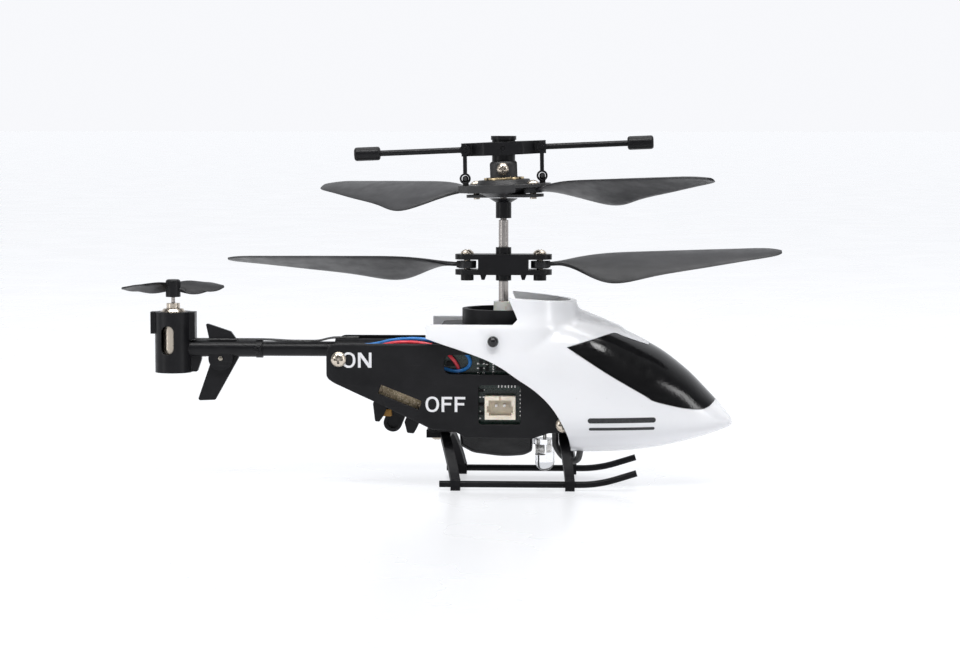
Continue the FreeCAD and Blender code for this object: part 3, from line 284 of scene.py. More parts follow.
def solder_mask(name, base):
    """Green board: copper tracks showing through the mask as lighter lines, fine glass weave."""
    s = Shader(name)
    brick = s.node("ShaderNodeTexBrick", offset=0.35, squash=0.6)
    mapping = s.node("ShaderNodeMapping")
    mapping.inputs["Rotation"].default_value = (math.pi / 2, 0, 0)
    s.join(s.place, mapping.inputs["Vector"])
    s.join(mapping.outputs["Vector"], brick.inputs["Vector"])
    for key, value in (("Scale", 700.0), ("Mortar Size", 0.12), ("Mortar Smooth", 0.3), ("Bias", 0.0)):
        brick.inputs[key].default_value = value
    track = s.levels(brick.outputs["Fac"], 0.2, 0.8, 0.0, 1.0)
    tone = s.mix(track, base, lighter(base, 0.008))
    weave = s.noise(6000.0, 2.0)
    return s.finish(Base_Color=tone, Roughness=s.levels(weave, 0.3, 0.7, 0.22, 0.36),
                    Normal=s.bump(track, 0.4, 0.03 * MM), Coat_Weight=0.3, Coat_Roughness=0.15)


def speckled_board(name):
    """Punched phenolic board: tan with dark and pale specks."""
    s = Shader(name)
    patch = s.levels(s.noise(1400.0, 4.0, 0.7), 0.35, 0.65, 0.0, 1.0)
    cloud = s.mix(patch, (0.3, 0.23, 0.13), (0.62, 0.5, 0.33))
    specks = s.levels(s.noise(4200.0, 2.0, 0.6), 0.56, 0.62, 0.0, 0.85)
    dotted = s.mix(specks, cloud, (0.85, 0.74, 0.54))
    return s.finish(Base_Color=dotted, Roughness=s.levels(cloud, 0.0, 1.0, 0.5, 0.75),
                    Normal=s.bump(s.noise(3600.0, 3.0), 0.5, 0.04 * MM))


def nylon(name, base):
    """Unpainted nylon: slightly see-through, cloudy, satin."""
    s = Shader(name)
    patch = s.levels(s.noise(700.0, 4.0, 0.6), 0.35, 0.65, 0.0, 1.0)
    cloud = s.mix(patch, darker(base, 0.1), lighter(base, 0.15))
    dirt = s.mix(s.levels(s.noise(1800.0, 3.0, 0.6), 0.6, 0.72, 0.0, 0.35), cloud, darker(base, 0.6))
    return s.finish(Base_Color=dirt, Roughness=s.levels(s.noise(900.0, 3.0), 0.3, 0.7, 0.34, 0.5),
                    Normal=s.bump(s.noise(5200.0, 2.0), 0.2, 0.02 * MM), Subsurface_Weight=0.12,
                    Subsurface_Scale=0.5 * MM)


def sheath(name, base):
    """Extruded vinyl: satin with a faint draw texture."""
    s = Shader(name)
    tone = s.mix(s.levels(s.noise(900.0, 3.0), 0.35, 0.65, 0.0, 1.0), darker(base, 0.15), lighter(base, 0.05))
    return s.finish(Base_Color=tone, Roughness=s.levels(s.noise(2400.0, 2.0), 0.3, 0.7, 0.28, 0.42),
                    Normal=s.bump(s.noise(6500.0, 2.0), 0.15, 0.015 * MM), Specular_IOR_Level=0.55)


def shrink_wrap(name, base):
    """Shiny wrap over a cell, with long soft wrinkles."""
    s = Shader(name)
    wrinkle = s.noise(420.0, 3.0, 0.6, (0.35, 1.0, 1.0))
    tone = s.mix(s.levels(wrinkle, 0.4, 0.7, 0.0, 1.0), base, lighter(base, 0.02))
    return s.finish(Base_Color=tone, Roughness=s.levels(s.noise(1100.0, 3.0), 0.3, 0.7, 0.08, 0.18),
                    Normal=s.bump(wrinkle, 0.35, 0.12 * MM), Specular_IOR_Level=0.32)


def clear_epoxy(name):
    """Cast lamp epoxy: clear, with slight waves."""
    s = Shader(name)
    wave = s.noise(500.0, 2.0)
    return s.finish(Base_Color=(0.97, 0.98, 1.0), Roughness=s.levels(s.noise(1500.0, 3.0), 0.4, 0.8, 0.02, 0.09),
                    Normal=s.bump(wave, 0.12, 0.05 * MM), Transmission_Weight=1.0, IOR=1.53)


def ink(name, base, gloss=0.3):
    """Pad-printed ink: thin, with tiny pinholes and a little tooth."""
    s = Shader(name)
    patch = s.levels(s.noise(2600.0, 3.0, 0.6), 0.35, 0.7, 0.0, 1.0)
    tone = s.mix(patch, darker(base, 0.08), lighter(base, 0.02))
    return s.finish(Base_Color=tone, Roughness=s.levels(patch, 0.0, 1.0, gloss, gloss + 0.12),
                    Normal=s.bump(s.noise(5200.0, 2.0), 0.12, 0.01 * MM))


def plain_stage(name, base, rough, glow):
    """Backlit white acrylic: a slight sheen, and light of its own."""
    s = Shader(name)
    tone = s.mix(s.levels(s.noise(3.0, 3.0), 0.3, 0.7, 0.0, 1.0), darker(base, 0.004), base)
    return s.finish(Base_Color=tone, Roughness=s.levels(s.noise(40.0, 3.0), 0.3, 0.7, rough, rough + 0.04),
                    Specular_IOR_Level=0.4, Emission_Color=(0.965, 0.975, 1.0), Emission_Strength=glow)


# ---- mesh helpers -----------------------------------------------------------------------------------
def add_object(name, mesh, material, body="airframe"):
    """Links a finished mesh as a piece of the helicopter."""
    piece = bpy.data.objects.new(name, mesh)
    bpy.context.scene.collection.objects.link(piece)
    mesh.materials.clear()
    mesh.materials.append(material)
    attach(piece, body)
    return piece


def from_bmesh(name, bm, smooth_angle=None):
    mesh = bpy.data.meshes.new(name)
    bmesh.ops.recalc_face_normals(bm, faces=bm.faces)
    bm.to_mesh(mesh)
    bm.free()
    if smooth_angle is not None:
        mesh.shade_smooth()
        mesh.set_sharp_from_angle(angle=math.radians(smooth_angle))
    return mesh


def loft(bm, rings, closed_ends=True):
    """Skins equal-length rings of points, one after another."""
    rows = [[bm.verts.new(p) for p in ring] for ring in rings]
    count = len(rows[0])
    for low, high in zip(rows, rows[1:]):
        for i in range(count):
            j = (i + 1) % count
            bm.faces.new((low[i], low[j], high[j], high[i]))
    if closed_ends:
        bm.faces.new(rows[0][::-1])
        bm.faces.new(rows[-1])
    return rows


def prism(bm, outline, low, high):
    """Extrudes an (x, z) outline, in millimetres from the rotor axis, from y = low to y = high."""
    loft(bm, [[at(x, y, z) for x, z in outline] for y in (low, high)])


def smooth_outline(points, steps=5, closed=True):
    """Round curve through the points; a point given as (x, z, 0) stays a sharp corner."""
    count = len(points)
    curve = []
    for i in range(count if closed else count - 1):
        p = [points[(i + k) % count] if closed else points[min(max(i + k, 0), count - 1)] for k in (-1, 0, 1, 2)]
        before, here, there, after = [Vector(q[:2]) for q in p]
        if len(p[1]) == 3:
            before = here - (there - here)
        if len(p[2]) == 3:
            after = there + (there - here)
        for step in range(steps):
            t = step / steps
            curve.append(0.5 * (2 * here + (there - before) * t
                                + (2 * before - 5 * here + 4 * there - after) * t * t
                                + (3 * here - before - 3 * there + after) * t ** 3))
    if not closed:
        curve.append(Vector(points[-1][:2]))
    return [(q.x, q.y) for q in curve]


def temporary(mesh):
    piece = bpy.data.objects.new("tool", mesh)
    bpy.context.scene.collection.objects.link(piece)
    return piece


def evaluated_mesh(piece):
    depsgraph = bpy.context.evaluated_depsgraph_get()
    return bpy.data.meshes.new_from_object(piece.evaluated_get(depsgraph), depsgraph=depsgraph)


def cut(mesh, tool, operation, solver="MANIFOLD"):
    """Boolean of two meshes; both are used up."""
    body = temporary(mesh)
    other = temporary(tool)
    modifier = body.modifiers.new("cut", "BOOLEAN")
    modifier.operation = operation
    modifier.solver = solver
    modifier.object = other
    result = evaluated_mesh(body)
    for piece in (body, other):
        old = piece.data
        bpy.data.objects.remove(piece)
        bpy.data.meshes.remove(old)
    if not result.polygons:
        raise RuntimeError("a cut left nothing")
    return result


def lathe(bm, profile, centre, axis="Z", steps=48):
    """Turns (radius, along) pairs round an axis through centre, all in millimetres from the rotor axis."""
    rings = []
    for radius, along in profile:
        ring = []
        for i in range(steps):
            a = 2 * math.pi * i / steps
            u, v = radius * math.cos(a), radius * math.sin(a)
            offset = {"Z": (u, v, along), "Y": (v, along, u), "X": (along, u, v)}[axis]
            ring.append(at(centre[0] + offset[0], centre[1] + offset[1], centre[2] + offset[2]))
        rings.append(ring)
    loft(bm, rings)


def chamfered_block(bm, low, high, chamfer):
    """Block with chamfered edges, corners in millimetres from the rotor axis."""
    start = len(bm.verts)
    corners = [at(x, y, z) for x in (low[0], high[0]) for y in (low[1], high[1]) for z in (low[2], high[2])]
    verts = [bm.verts.new(c) for c in corners]
    for face in ((0, 1, 3, 2), (4, 6, 7, 5), (0, 4, 5, 1), (2, 3, 7, 6), (0, 2, 6, 4), (1, 5, 7, 3)):
        bm.faces.new([verts[i] for i in face])
    bm.verts.ensure_lookup_table()
    edges = {e for v in bm.verts[start:] for e in v.link_edges}
    bmesh.ops.bevel(bm, geom=list(edges), offset=chamfer * MM, segments=2, affect="EDGES", profile=0.6)


# ---- canopy -----------------------------------------------------------------------------------------
# Stations along the nose: x, roof, belly, half-width and waist height, in millimetres.
CABIN_STATIONS = [
    (-12.4, 31.5, 5.1, 10.2, 13.0), (-4.0, 31.5, 5.2, 10.3, 13.0), (0.0, 29.5, 5.2, 10.3, 12.9),
    (4.0, 26.3, 5.2, 10.3, 12.8),
    (9.0, 25.9, 5.1, 10.3, 12.6), (12.0, 25.6, 5.05, 10.2, 12.3), (15.5, 24.8, 5.1, 9.9, 12.0),
    (19.0, 23.6, 5.3, 9.3, 11.6), (22.3, 21.95, 5.65, 8.5, 11.2), (25.0, 20.35, 6.1, 7.6, 10.9),
    (28.4, 17.65, 6.9, 6.3, 10.5), (30.8, 15.25, 7.55, 5.15, 10.2), (32.9, 13.0, 8.25, 3.9, 9.9),
    (34.6, 10.9, 8.9, 2.5, 9.6), (35.35, 9.9, 9.2, 1.4, 9.5),
]
SECTION_STEPS = 64
SHELL_LOWER_EDGE = [
    (-11.4, 23.05, 0), (-8.8, 22.14), (-6.4, 21.36), (-2.4, 19.9), (0.1, 18.6), (2.55, 16.9), (4.7, 15.5),
    (6.55, 13.9), (8.0, 12.2), (9.3, 10.0), (10.3, 7.4), (10.6, 4.0, 0),
]
SHELL_UPPER_CORNERS = [(40, 4.0), (40, 34), (1.1, 34), (1.15, 28.9), (2.45, 25.9), (1.7, 25.1), (-11.4, 25.1)]
WINDOW_OUTLINE = [
    (9.9, 21.75, 0), (13.4, 22.75), (16.0, 23.45), (17.2, 23.6), (18.6, 23.05), (22.3, 21.65, 0), (25.0, 25.0, 0),
    (37.0, 14.6, 0), (32.7, 13.25, 0), (31.5, 12.35), (30.2, 12.0), (27.3, 12.35), (23.2, 13.45), (21.7, 14.35),
    (16.0, 17.75),
]
NECK_REAR = -3.0
CROWN_START = (1.1, 29.15)
CROWN_FALL = 0.085
STRIPE_STEPS = 24
# Level stripes low on each side of the canopy: x of the front end, z, length and half-height, in millimetres.
STRIPES = ((23.0, 10.7, 9.5, 0.4), (23.0, 9.4, 9.5, 0.22))


def stripe(front_x, z, long, half):
    """Outline of a plain level stripe with round ends."""
    outline = []
    for i in range(STRIPE_STEPS):
        a = 2 * math.pi * (i + 0.5) / STRIPE_STEPS
        end = front_x if math.cos(a) > 0 else front_x - long
        outline.append((end + half * math.cos(a), z + half * math.sin(a)))
    return outline


def cabin_section(x, roof, belly, half, waist, inset=0.0):
    """Superellipse section, boxy at the shoulders over the mast and rounder towards the nose."""
    share = min(max((22.0 - x) / 12.0, 0.0), 1.0)
    power = 2.25 + 1.1 * share * share * (3 - 2 * share)
    ring = []
    for i in range(SECTION_STEPS):
        a = 2 * math.pi * (i + 0.5) / SECTION_STEPS
        rise = math.sin(a)
        across = math.cos(a)
        bend = power if rise > 0 else 2.5
        height = roof - waist if rise > 0 else waist - belly
        y = math.copysign(abs(across) ** (2 / bend), across) * (half - inset)
        z = waist + math.copysign(abs(rise) ** (2 / bend), rise) * (height - inset)
        ring.append(at(x, y, z))
    return ring


def station_values(stations, steps):
    """Smoothly fills in between the stations."""
    columns = list(zip(*stations))
    rows = []
    for column in columns[1:]:
        curve = smooth_outline(list(zip(columns[0], column)), steps, closed=False)
        rows.append(curve)
    return [(rows[0][i][0], *[row[i][1] for row in rows]) for i in range(len(rows[0]))]


def cabin_solid():
    """Closed outer form of the canopy: cabin, collar round the mast and the spine over the windscreen."""
    bm = bmesh.new()
    loft(bm, [cabin_section(*row) for row in station_values(CABIN_STATIONS, 5)])
    mesh = from_bmesh("cabin", bm)
    neck_top = 26.4 + sizes().neck_rise / MM
    rings = []
    for z, half, front in ((18.0, 9.9, 12.4), (24.6, 9.75, 12.2), (25.6, 9.3, 11.85), (26.8, 8.95, 11.5),
                           (29.8, 8.75, 11.1), (neck_top, 8.65, 10.9)):
        ring = [at(NECK_REAR, -half, z), at(2.0, -half, z)]
        ring += [at(2.0 + (front - 2.0) * math.sin(a), -half * math.cos(a), z)
                 for a in (math.pi * k / 32 for k in range(1, 32))]
        ring += [at(2.0, half, z), at(NECK_REAR, half, z)]
        rings.append(ring)
    bm = bmesh.new()
    loft(bm, rings)
    mesh = cut(mesh, from_bmesh("neck", bm), "UNION")
    bm = bmesh.new()
    spine = [(9.5, 27.3), (12.1, 26.75), (13.2, 26.35), (15.7, 25.3), (18.35, 24.15)]
    loft(bm, [[at(x, -2.9, z - 4), at(x, -2.3, z - 0.22), at(x, -1.6, z), at(x, 1.6, z), at(x, 2.3, z - 0.22),
               at(x, 2.9, z - 4)] for x, z in spine])
    return cut(mesh, from_bmesh("spine", bm), "UNION")


def relaxed(mesh, rounds):
    piece = temporary(mesh)
    remesh = piece.modifiers.new("cells", "REMESH")
    remesh.mode = "VOXEL"
    remesh.voxel_size = sizes().canopy_grain
    smooth = piece.modifiers.new("soften", "SMOOTH")
    smooth.factor = 0.5
    smooth.iterations = rounds
    result = evaluated_mesh(piece)
    bpy.data.objects.remove(piece)
    bpy.data.meshes.remove(mesh)
    return result


def grown(mesh, distance):
    """Copy of the mesh moved along its normals, distance in metres."""
    copy = mesh.copy()
    moves = [v.normal * distance for v in copy.vertices]
    for vertex, move in zip(copy.vertices, moves):
        vertex.co += move
    return copy


def outline_tool(outline, low=-12.0, high=12.0):
    bm = bmesh.new()
    prism(bm, outline, low, high)
    bmesh.ops.triangulate(bm, faces=[f for f in bm.faces if len(f.verts) > 4])
    return from_bmesh("outline", bm)


def shell_tool():
    lower = smooth_outline(SHELL_LOWER_EDGE, 4, closed=False)
    return outline_tool(lower + SHELL_UPPER_CORNERS)


def crown_tool():
    x, z = CROWN_START
    outline = [(x - 6, z + 6 * CROWN_FALL), (x + 14, z - 14 * CROWN_FALL), (x + 14, 40), (x - 6, 40)]
    return outline_tool(outline)


def shrunk(outline, gap):
    """Outline moved inwards by gap millimetres; it runs clockwise seen from the right side."""
    count = len(outline)
    area = sum(outline[i - 1][0] * outline[i][1] - outline[i][0] * outline[i - 1][1] for i in range(count))
    side = 1.0 if area > 0 else -1.0
    moved = []
    for i in range(count):
        before = Vector(outline[i]) - Vector(outline[i - 1])
        after = Vector(outline[(i + 1) % count]) - Vector(outline[i])
        normal = (before.normalized() + after.normalized()).normalized()
        moved.append((outline[i][0] - side * normal.y * gap, outline[i][1] + side * normal.x * gap))
    return moved


def smoothed(mesh, angle=32):
    mesh.shade_smooth()
    mesh.set_sharp_from_angle(angle=math.radians(angle))
    return mesh


class HELI_OT_canopy(bpy.types.Operator):
    """White canopy shell, its inlaid black windscreen and the printed stripes"""

    bl_idname = "heli.canopy"
    bl_label = "Canopy"

    def execute(self, context):
        look = finishes()
        solid = relaxed(cabin_solid(), 9)
        wall = sizes().canopy_wall
        hollow = cut(solid.copy(), grown(solid, -wall), "DIFFERENCE")
        window = smooth_outline(WINDOW_OUTLINE, 4)
        shell = cut(hollow.copy(), shell_tool(), "INTERSECT")
        shell = cut(shell, crown_tool(), "DIFFERENCE")
        shell = cut(shell, outline_tool(window), "DIFFERENCE")
        piece = add_object("canopy_shell", smoothed(shell), gloss_white("white_shell", look.white))
        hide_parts("canopy")
        gap = sizes().glazing_gap / MM
        glazing = cut(grown(hollow, -0.05 * MM), outline_tool(shrunk(window, gap)), "INTERSECT")
        piece = add_object("windscreen_panel", smoothed(glazing), gloss_black("window_black", look.windscreen))
        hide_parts("windscreen")
        thick = sizes().print_thick
        skin = cut(grown(solid, thick), grown(solid, -2 * thick), "DIFFERENCE")
        dark = ink("stripe_ink", look.print_ink)
        for side, low, high in (("right", -12.0, -4.0), ("left", 4.0, 12.0)):
            for number, measures in enumerate(STRIPES):
                printed = cut(skin.copy(), outline_tool(stripe(*measures), low, high), "INTERSECT")
                add_object("stripe_%s_%d" % (side, number + 1), smoothed(printed), dark)
        return {"FINISHED"}


# ---- printed words and small parts on the side panel ---------------------------------------------------
O_STEPS = 36
LETTER_STROKE = 0.17
LETTERS = {
    "N": (0.9, [(0, 0), (0, 1), (0.21, 1), (0.72, 0.31), (0.72, 1), (0.9, 1), (0.9, 0), (0.69, 0),
                (0.18, 0.69), (0.18, 0)]),
    "F": (0.7, [(0, 0), (0, 1), (0.7, 1), (0.7, 0.84), (0.18, 0.84), (0.18, 0.6), (0.63, 0.6), (0.63, 0.44),
                (0.18, 0.44), (0.18, 0)]),
}


def oval(width, height):
    """Rounded outline of a capital O round (0.45, 0.5), in letter heights."""
    turns = [2 * math.pi * i / O_STEPS for i in range(O_STEPS)]
    return [(0.45 + width / 2 * math.copysign(abs(math.cos(a)) ** 0.9, math.cos(a)),
             0.5 + height / 2 * math.copysign(abs(math.sin(a)) ** 0.9, math.sin(a))) for a in turns]


def printed_word(word, left, foot, material):
    """Flat raised capitals on the right side panel; left and foot in millimetres from the rotor axis."""
    high = sizes().letter_height / MM
    thick = sizes().print_thick / MM
    face = PANEL_FACE / MM
    bm = bmesh.new()

    def placed(outline, y):
        return [at(left + x * high, y, foot + z * high) for x, z in outline]

    for letter in word:
        if letter == "O":
            wide = 0.9
            outer = oval(wide, 1.03)
            inner = oval(wide - 2 * LETTER_STROKE, 1.03 - 1.7 * LETTER_STROKE)
            rings = [placed(outline, y) for outline, y in ((outer, face - thick), (outer, face + thick),
                                                           (inner, face + thick), (inner, face - thick))]
            loft(bm, rings + rings[:1], closed_ends=False)
        else:
            wide, outline = LETTERS[letter]
            loft(bm, [placed(outline, y) for y in (face - thick, face + thick)])
        left += (wide + 0.165) * high
    bmesh.ops.remove_doubles(bm, verts=bm.verts, dist=1e-7)
    bmesh.ops.triangulate(bm, faces=[f for f in bm.faces if len(f.verts) > 4])
    return add_object("print_" + word.lower(), from_bmesh(word, bm), material)


class HELI_OT_panel_print(bpy.types.Operator):
    """White ON and OFF beside the switch"""

    bl_idname = "heli.panel_print"
    bl_label = "Panel print"

    def execute(self, context):
        white = ink("panel_white", (0.8, 0.8, 0.82), 0.4)
        printed_word("ON", -24.2, 18.5, white)
        printed_word("OFF", -11.5, 11.82, white)
        return {"FINISHED"}


# ---- electronics ---------------------------------------------------------------------------------------
class HELI_OT_lamp_core(bpy.types.Operator):
    """Anvil, post and cup of the lamp, seen through its clear body"""

    bl_idname = "heli.lamp_core"
    bl_label = "Lamp core"

    def execute(self, context):
        low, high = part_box("led_lamp")
        x = ((low.x + high.x) / 2 - ROTOR_X) / MM
        tin = plated("lamp_frame", (0.78, 0.76, 0.72), 0.2)
        bm = bmesh.new()
        chamfered_block(bm, (x - 0.95, -0.25, 4.6), (x + 0.1, 0.25, 5.9), 0.08)
        chamfered_block(bm, (x + 0.3, -0.25, 4.7), (x + 0.8, 0.25, 5.9), 0.06)
        chamfered_block(bm, (x - 0.75, -0.22, 5.7), (x - 0.4, 0.22, 6.7), 0.05)
        chamfered_block(bm, (x + 0.4, -0.22, 5.7), (x + 0.75, 0.22, 6.7), 0.05)
        add_object("lamp_frame", from_bmesh("lamp_frame", bm, 35), tin)
        bm = bmesh.new()
        cup = [(0.2, 4.55), (0.5, 4.5), (0.62, 4.3), (0.56, 4.28), (0.3, 4.42), (0.05, 4.44)]
        lathe(bm, cup, (x - 0.4, 0, 0), "Z", 24)
        add_object("lamp_cup", from_bmesh("lamp_cup", bm, 40), tin)
        return {"FINISHED"}


class HELI_OT_tail_details(bpy.types.Operator):
    """Moulded swirl on the boom's collar and the rivet head of the fin pin"""

    bl_idname = "heli.tail_details"
    bl_label = "Tail details"

    def execute(self, context):
        black = moulded("tail_black", finishes().black, 0.34, 9000.0, 0.2)
        for side in (-1, 1):
            name = "right" if side < 0 else "left"
            bm = bmesh.new()
            lathe(bm, [(0.62, 0.95 * side), (0.62, 1.42 * side), (0.5, 1.52 * side), (0.34, 1.5 * side),
                       (0.3, 1.38 * side), (0.16, 1.38 * side), (0.12, 1.5 * side), (0.02, 1.52 * side)],
                  (-38.0, 0, 20.55), "Y", 28)
            add_object("boom_swirl_" + name, from_bmesh("boom_swirl", bm, 40), black)
            bm = bmesh.new()
            lathe(bm, [(0.36, 0.9 * side), (0.36, 1.04 * side), (0.26, 1.1 * side), (0.02, 1.12 * side)],
                  (-43.8, 0, 19.1), "Y", 24)
            steel = plated("rivet_" + name, (0.4, 0.36, 0.3), 0.3)
            add_object("fin_rivet_" + name, from_bmesh("fin_rivet", bm, 40), steel)
        return {"FINISHED"}


# Solder joints on the board: x, z and radius, in millimetres.
SOLDER_JOINTS = (
    (-8.9, 18.3, 0.5), (-6.5, 17.9, 0.48), (-2.2, 18.9, 0.34), (-0.9, 20.2, 0.3),
    (3.1, 15.0, 0.36), (3.2, 12.2, 0.34),
)
# Columns of tinned pads on the board: x, lowest z, spacing, count and width, in millimetres.
PAD_COLUMNS = (
    (-3.6, 17.6, 0.7, 3, 0.34), (-2.75, 17.6, 0.7, 3, 0.34), (-1.3, 17.45, 0.36, 6, 0.22),
    (-3.3, 10.6, 1.1, 5, 0.3), (-2.75, 12.8, 1.1, 3, 0.3), (2.85, 11.1, 0.62, 7, 0.26),
)


class HELI_OT_board_details(bpy.types.Operator):
    """Solder joints, component leads and pads on the board, and the contact of the switch"""

    bl_idname = "heli.board_details"
    bl_label = "Board details"

    def execute(self, context):
        face = BOARD_FACE / MM
        tin = plated("solder_tin", (0.74, 0.73, 0.71), 0.24)
        bm = bmesh.new()
        for i in range(6):
            x = -0.475 + 0.5 * i
            chamfered_block(bm, (x - 0.09, face - 0.16, 16.6), (x + 0.09, face, 17.15), 0.03)
            chamfered_block(bm, (x - 0.09, face - 0.16, 15.35), (x + 0.09, face, 15.9), 0.03)
        for i in range(7):
            z = 11.3 + 0.5 * i
            for x in (-7.25, -4.0):
                chamfered_block(bm, (x, face - 0.2, z - 0.1), (x + 0.35, face, z + 0.1), 0.03)
        add_object("chip_leads", from_bmesh("chip_leads", bm, 35), tin)
        bm = bmesh.new()
        for x, z, step, count, wide in PAD_COLUMNS:
            for i in range(count):
                chamfered_block(bm, (x - wide / 2, face - 0.14, z + i * step - 0.11),
                                (x + wide / 2, face, z + i * step + 0.11), 0.05)
        add_object("board_pads", from_bmesh("board_pads", bm, 35), tin)
        for number, (x, z, radius) in enumerate(SOLDER_JOINTS):
            bm = bmesh.new()
            lathe(bm, [(radius, 0.0), (radius * 0.96, -0.12), (radius * 0.7, -0.3), (radius * 0.35, -0.42),
                       (radius * 0.05, -0.45)], (x, face, z), "Y", 20)
            add_object("solder_%d" % (number + 1), from_bmesh("solder", bm, 60), tin)
        ochre = moulded("contact_ochre", (0.42, 0.22, 0.05), 0.45)
        bm = bmesh.new()
        chamfered_block(bm, (-18.3, -6.9, 10.9), (-16.8, -5.2, 12.0), 0.12)
        add_object("switch_contact", from_bmesh("switch_contact", bm, 35), ochre)
        return {"FINISHED"}


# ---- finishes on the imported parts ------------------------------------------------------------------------
def give(material, *nodes):
    for node in nodes:
        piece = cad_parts[node]
        if not piece.material_slots:
            piece.data.materials.append(material)
        for slot in piece.material_slots:
            slot.material = material


class HELI_OT_finishes(bpy.types.Operator):
    """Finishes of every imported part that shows"""

    bl_idname = "heli.finishes"
    bl_label = "Part finishes"

    def execute(self, context):
        look = finishes()
        panel = moulded("panel_black", look.black, 0.5, 6500.0, 0.32, 0.5)
        give(panel, "side_panel_right", "side_panel_left", "main_frame")
        satin = moulded("satin_black", look.black, 0.36, 9000.0, 0.2)
        give(moulded("pin_gloss", look.black, 0.16, 9000.0, 0.06, 0.1, 0.5), "canopy_pins")
        gear = moulded("gear_black", look.black, 0.42, 9000.0, 0.2, 0.35, 0.13)
        give(gear, "landing_bow_front", "landing_bow_rear", "skid_right", "skid_left")
        give(satin, "tail_motor_mount", "tail_fin", "fin_pin", "lower_hub", "shaft_collar",
             "rotor_head", "flybar", "link_front", "link_rear", "tail_rotor",
             "switch_body", "switch_knob", "tail_boom")
        give(moulded("hub_grey", lighter(look.black, 0.035), 0.38, 9000.0, 0.2), "upper_hub")
        give(blade_plastic("blade_nylon", look.blade), "lower_blade_a", "lower_blade_b", "upper_blade_a",
             "upper_blade_b")
        give(plated("screw_nickel", look.nickel, 0.27), "body_screws", "lower_hub_screws", "hub_pivot_screws",
             "upper_blade_screws")
        give(plated("motor_can", look.nickel, 0.3, (1.0, 1.0, 0.15)), "motor_cans", "tail_motor_can")
        give(plated("switch_plate", (0.50, 0.40, 0.28), 0.36, (0.2, 1.0, 1.0)), "switch_can")
        give(plated("shaft_steel", look.steel, 0.22, (1.0, 1.0, 0.1)), "outer_shaft", "inner_shaft",
             "front_motor_shaft", "rear_motor_shaft", "tail_motor_shaft")
        give(plated("tinned", (0.76, 0.75, 0.72), 0.25), "socket_pins", "led_leads")
        give(plated("turned_brass", look.brass, 0.25, (1.0, 1.0, 0.3)), "lower_bearing", "hub_ring",
             "front_pinion", "rear_pinion")
        give(nylon("natural_nylon", (0.74, 0.73, 0.68)), "upper_bearing", "outer_gear", "inner_gear")
        give(solder_mask("board_mask", look.board), "circuit_board")
        give(moulded("chip_epoxy", (0.012, 0.012, 0.013), 0.5), "board_chips", "infrared_receiver")
        give(nylon("socket_nylon", look.cream), "charging_socket")
        give(speckled_board("tan_board"), "switch_board")
        give(shrink_wrap("battery_wrap", (0.006, 0.006, 0.007)), "battery")
        give(clear_epoxy("lamp_epoxy"), "led_lamp")
        give(sheath("red_sheath", look.red), "red_wire")
        give(sheath("blue_sheath", look.blue), "blue_wire")
        give(sheath("black_sheath", (0.012, 0.012, 0.013)), "nose_lead", "tail_leads")
        return {"FINISHED"}


# ---- stage -----------------------------------------------------------------------------------------------
def soft_light(name, place, target, size, power):
    """Rectangular area light; place and size in metres, power in watts."""
    lamp = bpy.data.lights.new(name, "AREA")
    lamp.shape = "RECTANGLE"
    lamp.size, lamp.size_y = size
    lamp.energy = power
    light = bpy.data.objects.new(name, lamp)
    light.location = place
    light.rotation_euler = (Vector(target) - Vector(place)).to_track_quat("-Z", "Y").to_euler()
    bpy.context.scene.collection.objects.link(light)


def studio_world():
    """White room: bright behind, dim at the two sides and on the side the helicopter is seen from."""
    world = bpy.data.worlds.new("studio")
    world.use_nodes = True
    tree = world.node_tree
    seen = tree.nodes["Background"]
    seen.inputs["Color"].default_value = (0.965, 0.972, 1.0, 1.0)
    seen.inputs["Strength"].default_value = 0.97
    around = tree.nodes.new("ShaderNodeBackground")
    around.inputs["Color"].default_value = (0.95, 0.965, 1.0, 1.0)
    direction = tree.nodes.new("ShaderNodeTexCoord")
    split = tree.nodes.new("ShaderNodeSeparateXYZ")
    ramp = tree.nodes.new("ShaderNodeMapRange")
    ramp.interpolation_type = "SMOOTHSTEP"
    for key, value in (("From Min", -0.3), ("From Max", 0.75), ("To Min", 0.12), ("To Max", 0.75)):
        ramp.inputs[key].default_value = value
    path = tree.nodes.new("ShaderNodeLightPath")
    mix = tree.nodes.new("ShaderNodeMixShader")
    for source, target in ((direction.outputs["Generated"], split.inputs[0]),
                           (split.outputs["Y"], ramp.inputs["Value"]),
                           (ramp.outputs["Result"], around.inputs["Strength"]),
                           (path.outputs["Is Camera Ray"], mix.inputs["Fac"]),
                           (around.outputs[0], mix.inputs[1]), (seen.outputs[0], mix.inputs[2]),
                           (mix.outputs[0], tree.nodes["World Output"].inputs["Surface"])):
        tree.links.new(source, target)
    return world


CAMERA_LENS = 104.8             # millimetres
CAMERA_DISTANCE = 431.4 * MM
CAMERA_AZIMUTH = math.radians(2.7)
CAMERA_ELEVATION = math.radians(4.58)
CAMERA_TARGET = at(-3.63, 0, 23.6)
FLOOR_HALF = 6.0                # metres


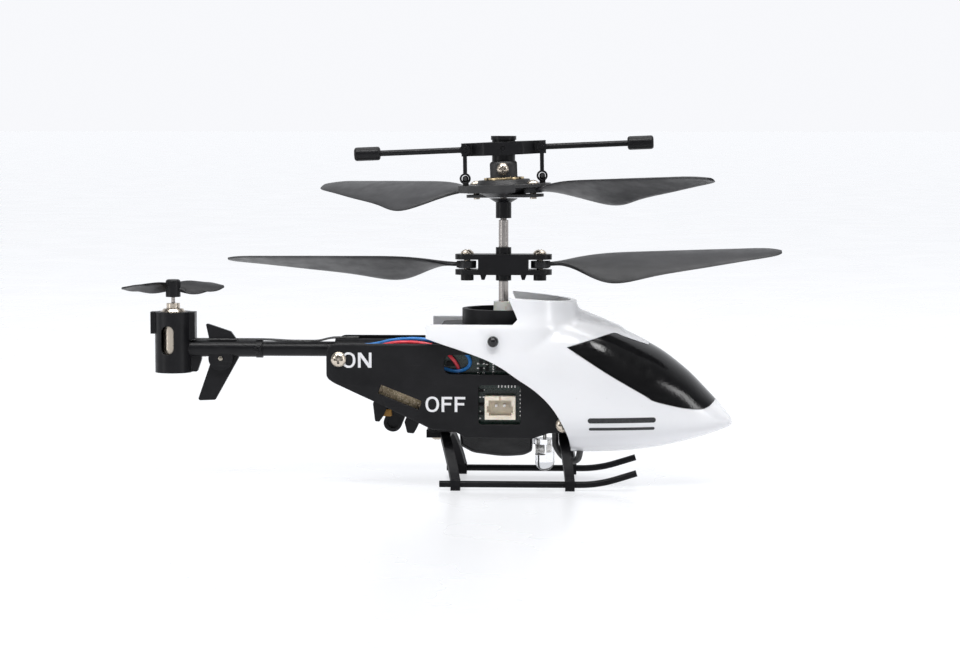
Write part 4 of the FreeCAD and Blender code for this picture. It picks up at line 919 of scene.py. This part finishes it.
class HELI_OT_stage(bpy.types.Operator):
    """Camera, flat pale floor, white room and soft studio lights"""

    bl_idname = "heli.stage"
    bl_label = "Stage"

    def execute(self, context):
        scene = context.scene
        level = math.cos(CAMERA_ELEVATION)
        away = Vector((math.sin(CAMERA_AZIMUTH) * level, -math.cos(CAMERA_AZIMUTH) * level,
                       math.sin(CAMERA_ELEVATION)))
        camera = bpy.data.objects.new("camera", bpy.data.cameras.new("camera"))
        camera.data.lens = CAMERA_LENS
        camera.data.clip_start = 0.01
        camera.data.clip_end = 20.0
        camera.location = CAMERA_TARGET + away * CAMERA_DISTANCE
        camera.rotation_euler = (-away).to_track_quat("-Z", "Y").to_euler()
        scene.collection.objects.link(camera)
        scene.camera = camera
        bm = bmesh.new()
        quad = [bm.verts.new((x, y, 0)) for x in (-FLOOR_HALF, FLOOR_HALF) for y in (-FLOOR_HALF, FLOOR_HALF)]
        bm.faces.new((quad[0], quad[2], quad[3], quad[1]))
        floor = bpy.data.objects.new("floor", from_bmesh("floor", bm))
        floor.data.materials.append(plain_stage("paper", (0.27, 0.273, 0.28), 0.25, 0.6))
        scene.collection.objects.link(floor)
        scene.world = studio_world()
        scene.view_settings.view_transform = "Standard"
        middle = (0, 0, 0.025)
        soft_light("overhead", (0.0, 0.1, 0.5), middle, (0.6, 0.3), 1.4)
        soft_light("front_strip", (0.02, -0.22, 0.44), middle, (0.6, 0.12), 2.45)
        soft_light("left_fill", (-0.5, -0.3, 0.16), middle, (0.1, 0.3), 0.5)
        soft_light("right_fill", (0.55, -0.28, 0.2), middle, (0.1, 0.3), 0.5)
        return {"FINISHED"}


class HELI_PT_panel(bpy.types.Panel):
    """Builds the helicopter's pieces"""

    bl_label = "Helicopter"
    bl_idname = "HELI_PT_panel"
    bl_space_type = "VIEW_3D"
    bl_region_type = "UI"
    bl_category = "Helicopter"

    def draw(self, context):
        for group in (context.scene.heli_finishes, context.scene.heli_sizes):
            box = self.layout.box()
            for name in group.bl_rna.properties.keys():
                if name not in ("rna_type", "name"):
                    box.prop(group, name)
        for step in STEPS:
            self.layout.operator(step.bl_idname)


STEPS = (HELI_OT_stage, HELI_OT_finishes, HELI_OT_canopy, HELI_OT_panel_print, HELI_OT_board_details,
         HELI_OT_lamp_core, HELI_OT_tail_details)
CLASSES = (HeliFinishes, HeliSizes, *STEPS, HELI_PT_panel)


def register():
    for kind in CLASSES:
        bpy.utils.register_class(kind)
    bpy.types.Scene.heli_finishes = bpy.props.PointerProperty(type=HeliFinishes)
    bpy.types.Scene.heli_sizes = bpy.props.PointerProperty(type=HeliSizes)


def unregister():
    del bpy.types.Scene.heli_sizes
    del bpy.types.Scene.heli_finishes
    for kind in reversed(CLASSES):
        bpy.utils.unregister_class(kind)


def main():
    register()
    bpy.ops.heli.stage()
    bpy.ops.heli.finishes()
    bpy.ops.heli.canopy()
    bpy.ops.heli.panel_print()
    bpy.ops.heli.board_details()
    bpy.ops.heli.lamp_core()
    bpy.ops.heli.tail_details()


if __name__ == "__main__":
    main()
